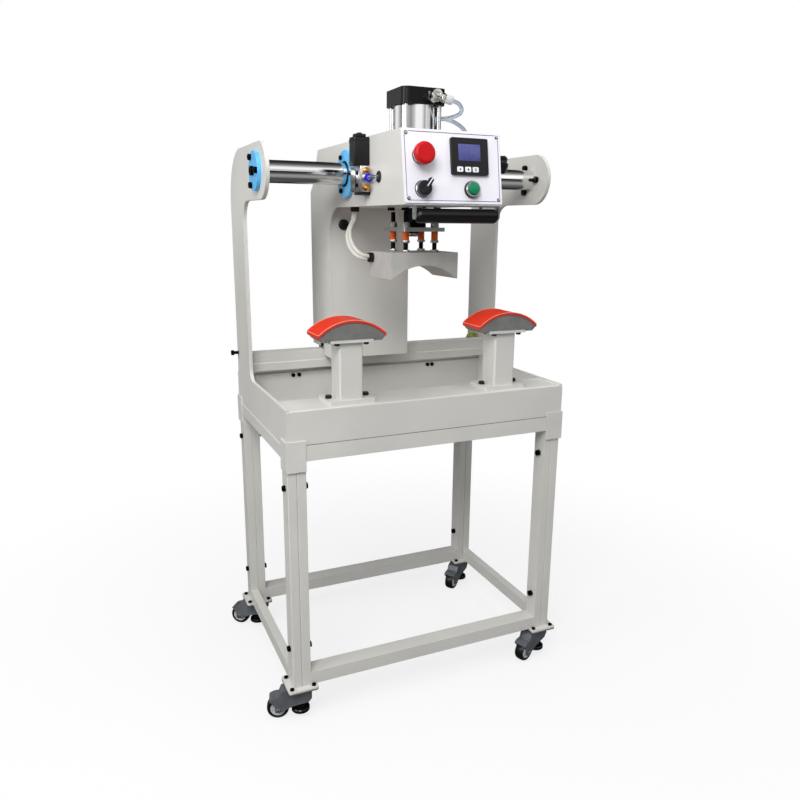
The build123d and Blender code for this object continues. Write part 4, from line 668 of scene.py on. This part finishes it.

# %% [markdown]
# ## Heater cable
# The heater's two leads run side by side in white glass-fibre braid. The braid follows the lead, so its
# pattern needs coordinates along and round it: the line is a NURBS spline through the cable's way, a
# ring is carried along it, and the mesh gets a UV map with both lengths in metres. The leads run
# between the arm, which moves with the carriage, and the platen, which moves with the ram; here they
# are fixed meshes that ride on neither.

# %% Braided sleeve
CABLE_WAY = [(-120.0, -136.0, 1011.0), (-133.0, -136.0, 1011.0), (-146, -124, 1022), (-150, -104, 1040),
             (-145, -82, 1057), (-134, -62, 1071), (-122, -47, 1082), (-114.0, -41.0, 1093),
             (-114.0, -41.0, 1106.0)]
STRAND = 4.2
STRAND_APART = Vector((2.6, -1.9, 2.6))
BRAID_STEP = 0.0024


def smooth_line(points):
    """Points along the NURBS line through a route, in millimetres."""
    curve = bpy.data.curves.new("line", "CURVE")
    curve.dimensions = "3D"
    spline = curve.splines.new("NURBS")
    spline.points.add(len(points) - 1)
    for point, at in zip(spline.points, points):
        point.co = (*at, 1)
    spline.order_u = 3
    spline.use_endpoint_u = True
    spline.resolution_u = 8
    holder = bpy.data.objects.new("line", curve)
    mesh = bpy.data.meshes.new_from_object(holder)
    line = [v.co.copy() for v in mesh.vertices]
    bpy.data.objects.remove(holder)
    bpy.data.curves.remove(curve)
    bpy.data.meshes.remove(mesh)
    return line


def sleeve(line, radius, sides=20):
    """Tube along a line, with a UV map in metres: U round the tube and V along it."""
    bm = bmesh.new()
    loop = bmesh.ops.create_circle(bm, segments=sides, radius=radius)["verts"]
    way = (line[1] - line[0]).normalized()
    bmesh.ops.transform(bm, matrix=aim(line[0], way), verts=loop)
    run = 0.0
    where = {vert: (turn, run) for turn, vert in enumerate(loop)}
    for here, there in zip(line, line[1:]):
        edges = [edge for edge in bm.edges if all(where[vert][1] == run for vert in edge.verts)]
        old = {vert.co.copy().freeze(): where[vert][0] for edge in edges for vert in edge.verts}
        made = bmesh.ops.extrude_edge_only(bm, edges=edges)["geom"]
        fresh = [vert for vert in made if isinstance(vert, bmesh.types.BMVert)]
        run += (there - here).length
        where.update({vert: (old[vert.co.copy().freeze()], run) for vert in fresh})
        bmesh.ops.translate(bm, vec=there - here, verts=fresh)
        following = (there - here).normalized()
        bmesh.ops.rotate(bm, cent=there, matrix=way.rotation_difference(following).to_matrix(), verts=fresh)
        way = following
    uv = bm.loops.layers.uv.new("UVMap")
    for face in bm.faces:
        turns = [where[vert][0] for vert in face.verts]
        for corner in face.loops:
            turn, along = where[corner.vert]
            if turn == 0 and max(turns) == sides - 1:
                turn = sides
            corner[uv].uv = (turn / sides * math.tau * radius / 1000, along / 1000)
    return bm


# Two diagonal waves cross. Such a wave repeats every 0.444 / scale metres, measured across its bands.
braid, tree, shader, _ = start("white_glass_fibre_braid", "E4E2DC", Roughness=0.75)
flat = add(tree, "ShaderNodeTexCoord").outputs["UV"]
crossed = add(tree, "ShaderNodeMapping", {"Rotation": (0, 0, math.radians(90))}, {"Vector": flat})
waves = [add(tree, "ShaderNodeTexWave", {"Scale": 0.444 / BRAID_STEP}, {"Vector": way},
             bands_direction="DIAGONAL") for way in (flat, crossed.outputs["Vector"])]
weave = add(tree, "ShaderNodeMath", links={0: waves[0].outputs["Fac"], 1: waves[1].outputs["Fac"]},
            operation="MULTIPLY").outputs["Value"]
tone = add(tree, "ShaderNodeValToRGB", links={"Fac": weave}, stops=[(0.0, "A8A49A"), (0.5, "ECEAE4")])
tree.links.new(tone.outputs["Color"], shader.inputs["Base Color"])
bump = add(tree, "ShaderNodeBump", {"Strength": 0.5, "Distance": 0.0006}, {"Height": weave})
tree.links.new(bump.outputs["Normal"], shader.inputs["Normal"])

strands = [[Vector(point) + side * STRAND_APART for point in CABLE_WAY] for side in (-1, 1)]
for number, way in enumerate(strands):
    strand = piece(f"heater_sleeve_{number + 1}", sleeve(smooth_line(way), STRAND), braid, None,
                   ["heater_cable"] if number == 0 else ())
    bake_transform(strand)

# %% [markdown]
# ## Castors
# The wheels have a rubber tyre with round shoulders on a pale hub, and a bright axle bolt. Each castor
# has its own turn, so one loop builds the wheel upright and a matrix places it, four times over.

# %% Castor wheels
TRAIL, WHEEL, HALF = 50.0, 25.0, 11.5
LEGS = {"front_left": (-315, -207, 164.0), "front_right": (315, -207, -159.0),
        "rear_left": (-315, 207, 142.0), "rear_right": (315, 207, -145.0)}
for name, (x, y, turn) in LEGS.items():
    ahead = Vector((math.cos(math.radians(turn)), math.sin(math.radians(turn)), 0))
    axle = Vector((ahead.y, -ahead.x, 0))
    at = aim(Vector((x, y, WHEEL)) + TRAIL * ahead, axle)
    tyre = bmesh.new()
    put(tyre, ring([(16.6, 1.5 - HALF), (20.8, -HALF), (22.8, 0.8 - HALF), (24.3, 3.4 - HALF),
                    (WHEEL - 0.05, 7.8 - HALF), (WHEEL - 0.05, HALF - 7.8), (24.3, HALF - 3.4),
                    (22.8, HALF - 0.8), (20.8, HALF), (16.6, HALF - 1.5)], 64), at)
    piece(f"tyre_{name}", tyre, tyre_rubber, f"wheel_{name}", [f"castor_wheel_{name}"])
    hub = bmesh.new()
    half_hub = [(3.1, -9.4), (7.0, -10.0), (8.4, -7.6), (13.4, -7.6), (14.6, -10.6), (16.7, -10.6)]
    put(hub, ring(half_hub + [(radius, -height) for radius, height in reversed(half_hub)], 48), at)
    piece(f"hub_{name}", hub, pale_hub, f"wheel_{name}")
    bolt_ends = bmesh.new()
    for side in (-1, 1):
        put(bolt_ends, prism(5.4, 3.4), at @ Matrix.Rotation(math.pi / 2 - side * math.pi / 2, 4, "X")
            @ Matrix.Translation((0, 0, 16.1)))
    piece(f"axle_bolt_{name}", bolt_ends, zinc_plate, f"castor_{name}")

# %% [markdown]
# ## Moulds
# Each silicone pad has a thin raised bead round its upper edge, in a pale red that is painted highlight
# for the light line along that edge. Each saddle reaches down past the ends of the plate that carries it.
# Black screws clamp that plate, and black caps cover the screws of the foot.

# %% Mould details
MOULD_X = 186.0
PAD_RADIUS, PAD_CENTRE, PAD_HALF_DEPTH, PAD_HALF_ANGLE = 109.7, 780.0, 39.7, math.asin(73.7 / 109.7)
PAD_STEPS = 24
BEAD_RADIUS = 0.85
# Heights, and the screws' places from the middle of a mould. A saddle's end slopes at 45 degrees.
HEAD_PLATE_FOOT, FOOT_PLATE_TOP, SADDLE_FOOT = 843.0, 722.0, 850.0
HEAD_SCREW_X, HEAD_SCREW_Y, FOOT_SCREW_X = 32.0, -30.5, 42.0
WEDGE, WEDGE_X = (22.7, 75.8, 8.0), 60.7
beads, saddle_ends, mould_screws = bmesh.new(), bmesh.new(), bmesh.new()
for side in (-1, 1):
    turns = [step * PAD_HALF_ANGLE / PAD_STEPS for step in range(-PAD_STEPS, PAD_STEPS + 1)]
    rim = [Vector((side * MOULD_X + PAD_RADIUS * math.sin(turn), PRESS_Y,
                   PAD_CENTRE + PAD_RADIUS * math.cos(turn))) for turn in turns]
    across = Vector((0, PAD_HALF_DEPTH, 0))
    for way in (-1, 1):
        put(beads, sleeve([point + way * across for point in rim], BEAD_RADIUS, 10))
    for end in (rim[0], rim[-1]):
        put(beads, sleeve([end + across * share for share in (-1.0, -0.5, 0.0, 0.5, 1.0)], BEAD_RADIUS, 10))
    for end in (-1, 1):
        wedge = block(WEDGE)
        low_edge = [vert for vert in wedge.verts if vert.co.x > 0 > vert.co.z]
        bmesh.ops.translate(wedge, vec=(-WEDGE[2], 0, 0), verts=low_edge)
        turned_round = Matrix.Rotation(math.pi if end < 0 else 0, 4, "Z")
        put(saddle_ends, wedge, Matrix.Translation((side * MOULD_X, PRESS_Y, SADDLE_FOOT)) @ turned_round
            @ Matrix.Translation((WEDGE_X, 0, 0)))
        put(mould_screws, turned([(0, 0), (5.6, 0), (5.6, 4.4), (4.8, 5.2), (0, 5.2)]),
            aim((side * MOULD_X + end * HEAD_SCREW_X, PRESS_Y + HEAD_SCREW_Y, HEAD_PLATE_FOOT), (0, 0, -1)))
        put(mould_screws, turned([(0, 0), (7.0, 0), (7.0, 5.4), (6.0, 6.8), (0, 7.0)]),
            aim((side * MOULD_X + end * FOOT_SCREW_X, PRESS_Y, FOOT_PLATE_TOP), (0, 0, 1)))
# The beads' pale colour is painted highlight on the pads' upper edges.
piece("pad_beads_painted_highlight", beads, bead_painted_highlight, "press_frame")
piece("saddle_ends", saddle_ends, saddle_cast, "press_frame")
piece("mould_screws", mould_screws, black_abs, "press_frame")

# %% [markdown]
# ## Faces of the upper rails
# A folded face covers each upper rail and stands a millimetre or two proud, so its rounded upper edge
# catches the light under the tray. A dark grey strip under the front and rear aprons is painted shadow
# for the gap there.

# %% Rail faces
RAIL_FOOT, APRON_FACE, SIDE_FACE = 606.0, 229.0, 335.0
FRONT_LONG, FRONT_TALL, SIDE_LONG, SIDE_TALL = 589.0, 33.5, 377.0, 28.0
rail_faces, shadow_strips = bmesh.new(), bmesh.new()
for side in (-1, 1):
    put(rail_faces, block((FRONT_LONG, 4.0, FRONT_TALL)),
        Matrix.Translation((0, side * (APRON_FACE - 0.4), RAIL_FOOT + FRONT_TALL / 2)))
    put(rail_faces, block((3.2, SIDE_LONG, SIDE_TALL)),
        Matrix.Translation((side * (SIDE_FACE + 0.2), 0, RAIL_FOOT + SIDE_TALL / 2)))
    # The thin dark strip under each apron is painted shadow for the gap there.
    put(shadow_strips, block((FRONT_LONG, 1.6, 1.3)), Matrix.Translation((0, side * APRON_FACE, RAIL_FOOT + 34.0)))
piece("rail_faces", rail_faces, grey_powder, "press_frame")
piece("apron_painted_shadow_strips", shadow_strips, shadow_strip_paint, "press_frame")

# %% [markdown]
# ## Earth lead
# A short green-yellow lead with its two crimped ends lies on the right end of the beam, past the reach
# of the carriage.

# %% Earth lead
WIRE_RADIUS, WIRE_GAP = 2.2, 3.2
EARTH_WAY = [(296, 160, 775), (300, 161, 778), (307, 163, 782), (315, 164, 780), (321, 165, 775)]
leads = bmesh.new()
for shift in (-WIRE_GAP, 0.0, WIRE_GAP):
    strand_line = smooth_line([Vector(point) + Vector((shift, -shift / 2, abs(shift))) for point in EARTH_WAY])
    put(leads, sleeve(strand_line, WIRE_RADIUS, 12))
for x, y, z in (EARTH_WAY[0], EARTH_WAY[-1]):
    put(leads, block((7.0, 11.0, 5.5), 1.6), Matrix.Translation((x, y, z + 0.2)))
piece("earth_lead", leads, earth_yellow, "press_frame")

# %% [markdown]
# ## Studio
# The press stands on a pale floor, which the camera sees grow white with distance, so floor and
# background meet without a line and the shadow under the stand stays. Soft light comes mostly from
# above and from the left. Polished metal needs something dark to show its shape, so glossy rays see a
# studio. On the floor that is a grey, palest a little way in front and darker under and behind the press.

# %% Floor
floor_bm = bmesh.new()
bmesh.ops.create_grid(floor_bm, x_segments=1, y_segments=1, size=30.0)
floor_mesh = bpy.data.meshes.new("studio_floor")
floor_bm.to_mesh(floor_mesh)
floor_bm.free()
floor = bpy.data.objects.new("studio_floor", floor_mesh)
bpy.context.scene.collection.objects.link(floor)

floor_paint, tree, matte, place = start("studio_floor_white", "E8E8E8", Roughness=0.9)
rays = add(tree, "ShaderNodeLightPath").outputs
seen = add(tree, "ShaderNodeMath", links={0: rays["Is Camera Ray"], 1: rays["Is Transmission Ray"]},
           operation="MAXIMUM").outputs["Value"]
away = add(tree, "ShaderNodeVectorMath", links={0: place}, operation="LENGTH").outputs["Value"]
share = add(tree, "ShaderNodeMapRange", {"From Min": 0.4, "From Max": 1.6, "To Min": 0.78, "To Max": 1.0},
            {"Value": away}, interpolation_type="SMOOTHSTEP").outputs["Result"]
glow = add(tree, "ShaderNodeEmission", {"Color": (1, 1, 1, 1), "Strength": 1.0})
front = add(tree, "ShaderNodeSeparateXYZ", links={"Vector": place}).outputs["Y"]
depth = add(tree, "ShaderNodeMapRange", {"From Min": -6.0, "From Max": 1.5}, {"Value": front}).outputs["Result"]
floor_gloss = add(tree, "ShaderNodeValToRGB", links={"Fac": depth},
                  stops=[(0.0, "404040"), (0.39, "686868"), (0.59, "A8A8A8"), (0.68, "929292"),
                         (0.76, "626262"), (0.88, "303030"), (1.0, "1A1A1A")]).outputs["Color"]
mirrored = add(tree, "ShaderNodeEmission", {"Strength": 1.0}, {"Color": floor_gloss})
pale = add(tree, "ShaderNodeMixShader", links={0: share, 1: matte.outputs["BSDF"], 2: glow.outputs["Emission"]})
# The floor throws little light back up, so faces that look up stay brighter than upright ones.
dim = add(tree, "ShaderNodeBsdfDiffuse", {"Color": linear("A8A8A8")})
plain = add(tree, "ShaderNodeMixShader", links={0: rays["Is Glossy Ray"], 1: dim.outputs["BSDF"],
                                                2: mirrored.outputs["Emission"]})
mixed = add(tree, "ShaderNodeMixShader", links={0: seen, 1: plain.outputs["Shader"], 2: pale.outputs["Shader"]})
tree.links.new(mixed.outputs["Shader"], tree.nodes["Material Output"].inputs["Surface"])
floor_mesh.materials.append(floor_paint)

# %% [markdown]
# ## World
# The camera sees white, and everything else is lit by a faint even glow. Glossy rays see a bright band
# over the front that fades to dark behind. Round the horizon they see two bright windows, in front and
# behind on the left, between dark sides, which gives upright rods and the cylinder their stripes.

# %% World
world = bpy.data.worlds.new("studio")
bpy.context.scene.world = world
world.use_nodes = True
tree = world.node_tree
background = tree.nodes["Background"]
background.inputs["Color"].default_value = (1, 1, 1, 1)
background.inputs["Strength"].default_value = 0.30
rays = add(tree, "ShaderNodeLightPath").outputs
seen = add(tree, "ShaderNodeMath", links={0: rays["Is Camera Ray"], 1: rays["Is Transmission Ray"]},
           operation="MAXIMUM").outputs["Value"]
white = add(tree, "ShaderNodeBackground", {"Color": (1, 1, 1, 1), "Strength": 1.0})
look = add(tree, "ShaderNodeTexCoord").outputs["Generated"]
sides = add(tree, "ShaderNodeSeparateXYZ", links={"Vector": look}).outputs
ahead = add(tree, "ShaderNodeMath", {1: -1.0}, {0: sides["Y"]}, operation="MULTIPLY").outputs["Value"]
# Angle over the front horizon, from 0 in front through 0.5 overhead to 1 behind.
climb = add(tree, "ShaderNodeMath", links={0: sides["Z"], 1: ahead}, operation="ARCTAN2").outputs["Value"]
climb = add(tree, "ShaderNodeMath", {1: math.pi}, {0: climb}, operation="DIVIDE").outputs["Value"]
overhead = add(tree, "ShaderNodeValToRGB", links={"Fac": climb},
               stops=[(0.0, "282828"), (0.08, "707070"), (0.12, "E4E4E4"), (0.15, "FFFFFF"), (0.25, "FFFFFF"),
                      (0.29, "D4D4D4"), (0.34, "A4A4A4"), (0.40, "828282"), (0.47, "5C5C5C"), (0.56, "383838"),
                      (0.72, "202020"), (1.0, "181818")]).outputs["Color"]
# Angle round the horizon, from 0 behind through 0.5 in front to 1 behind.
round_about = add(tree, "ShaderNodeMath", links={0: sides["X"], 1: ahead}, operation="ARCTAN2").outputs["Value"]
round_about = add(tree, "ShaderNodeMapRange", {"From Min": -math.pi, "From Max": math.pi},
                  {"Value": round_about}).outputs["Result"]
horizon = add(tree, "ShaderNodeValToRGB", links={"Fac": round_about},
              stops=[(0.0, "343434"), (0.12, "FFFFFF"), (0.24, "242424"), (0.34, "545454"), (0.42, "BCBCBC"),
                     (0.45, "FFFFFF"), (0.53, "FFFFFF"), (0.57, "B4B4B4"), (0.62, "686868"), (0.68, "303030"),
                     (0.85, "242424"), (1.0, "343434")]).outputs["Color"]
low = add(tree, "ShaderNodeMapRange", {"From Min": 0.16, "From Max": 0.34, "To Min": 1.0, "To Max": 0.0},
          {"Value": sides["Z"]}).outputs["Result"]
sky = add(tree, "ShaderNodeMix", links={"Factor": low, "A": overhead, "B": horizon}, data_type="RGBA")
gloss = add(tree, "ShaderNodeBackground", {"Strength": 1.15}, {"Color": sky.outputs["Result"]})
inner = add(tree, "ShaderNodeMixShader", links={0: rays["Is Glossy Ray"], 1: background.outputs["Background"],
                                                2: gloss.outputs["Background"]})
outer = add(tree, "ShaderNodeMixShader", links={0: seen, 1: inner.outputs["Shader"],
                                                2: white.outputs["Background"]})
tree.links.new(outer.outputs["Shader"], tree.nodes["World Output"].inputs["Surface"])

# %% [markdown]
# ## Cards and lamps
# Only glossy rays see the cards: a dark one across the front at the height of the tube, and two grey
# ones below it. Soft square lamps shine from the front left, the left, the front right and above.

# %% Cards and lamps
CARDS = {"dark_card": ("101010", [((2.4, 0.01, 0.17), (0.05, -0.90, 1.195))]),
         "grey_cards": ("484848", [((0.18, 0.26, 0.004), (-0.235, -0.05, 0.98)),
                                   ((0.24, 0.26, 0.004), (0.20, -0.05, 0.98))])}
for name, (colour, sheets) in CARDS.items():
    card_bm = bmesh.new()
    for size, middle in sheets:
        put(card_bm, block(size), Matrix.Translation(middle))
    card_mesh = bpy.data.meshes.new(name)
    card_bm.to_mesh(card_mesh)
    card_bm.free()
    card = bpy.data.objects.new(name, card_mesh)
    bpy.context.scene.collection.objects.link(card)
    card_mesh.materials.append(start(f"matte_{name}", colour, Roughness=1.0)[0])
    card.visible_camera = card.visible_diffuse = card.visible_transmission = card.visible_shadow = False


def lamp(name, place, target, size, power):
    """Soft square lamp that points at a target."""
    data = bpy.data.lights.new(name, "AREA")
    data.shape = "SQUARE"
    data.size = size
    data.energy = power
    obj = bpy.data.objects.new(name, data)
    bpy.context.scene.collection.objects.link(obj)
    obj.location = place
    obj.rotation_mode = "QUATERNION"
    obj.rotation_quaternion = (Vector(target) - Vector(place)).to_track_quat("-Z", "Y")
    return obj


lamp("key", (-1.2, -1.8, 2.4), (0, 0, 1.0), 1.1, 45)
lamp("left", (-3.0, -0.7, 1.9), (0, 0, 0.8), 1.6, 42)
lamp("fill", (2.4, -2.4, 1.8), (0, 0, 0.7), 1.8, 6)
top = lamp("top", (0.1, -0.4, 3.2), (0, 0, 0.9), 1.6, 33)
top.visible_glossy = False
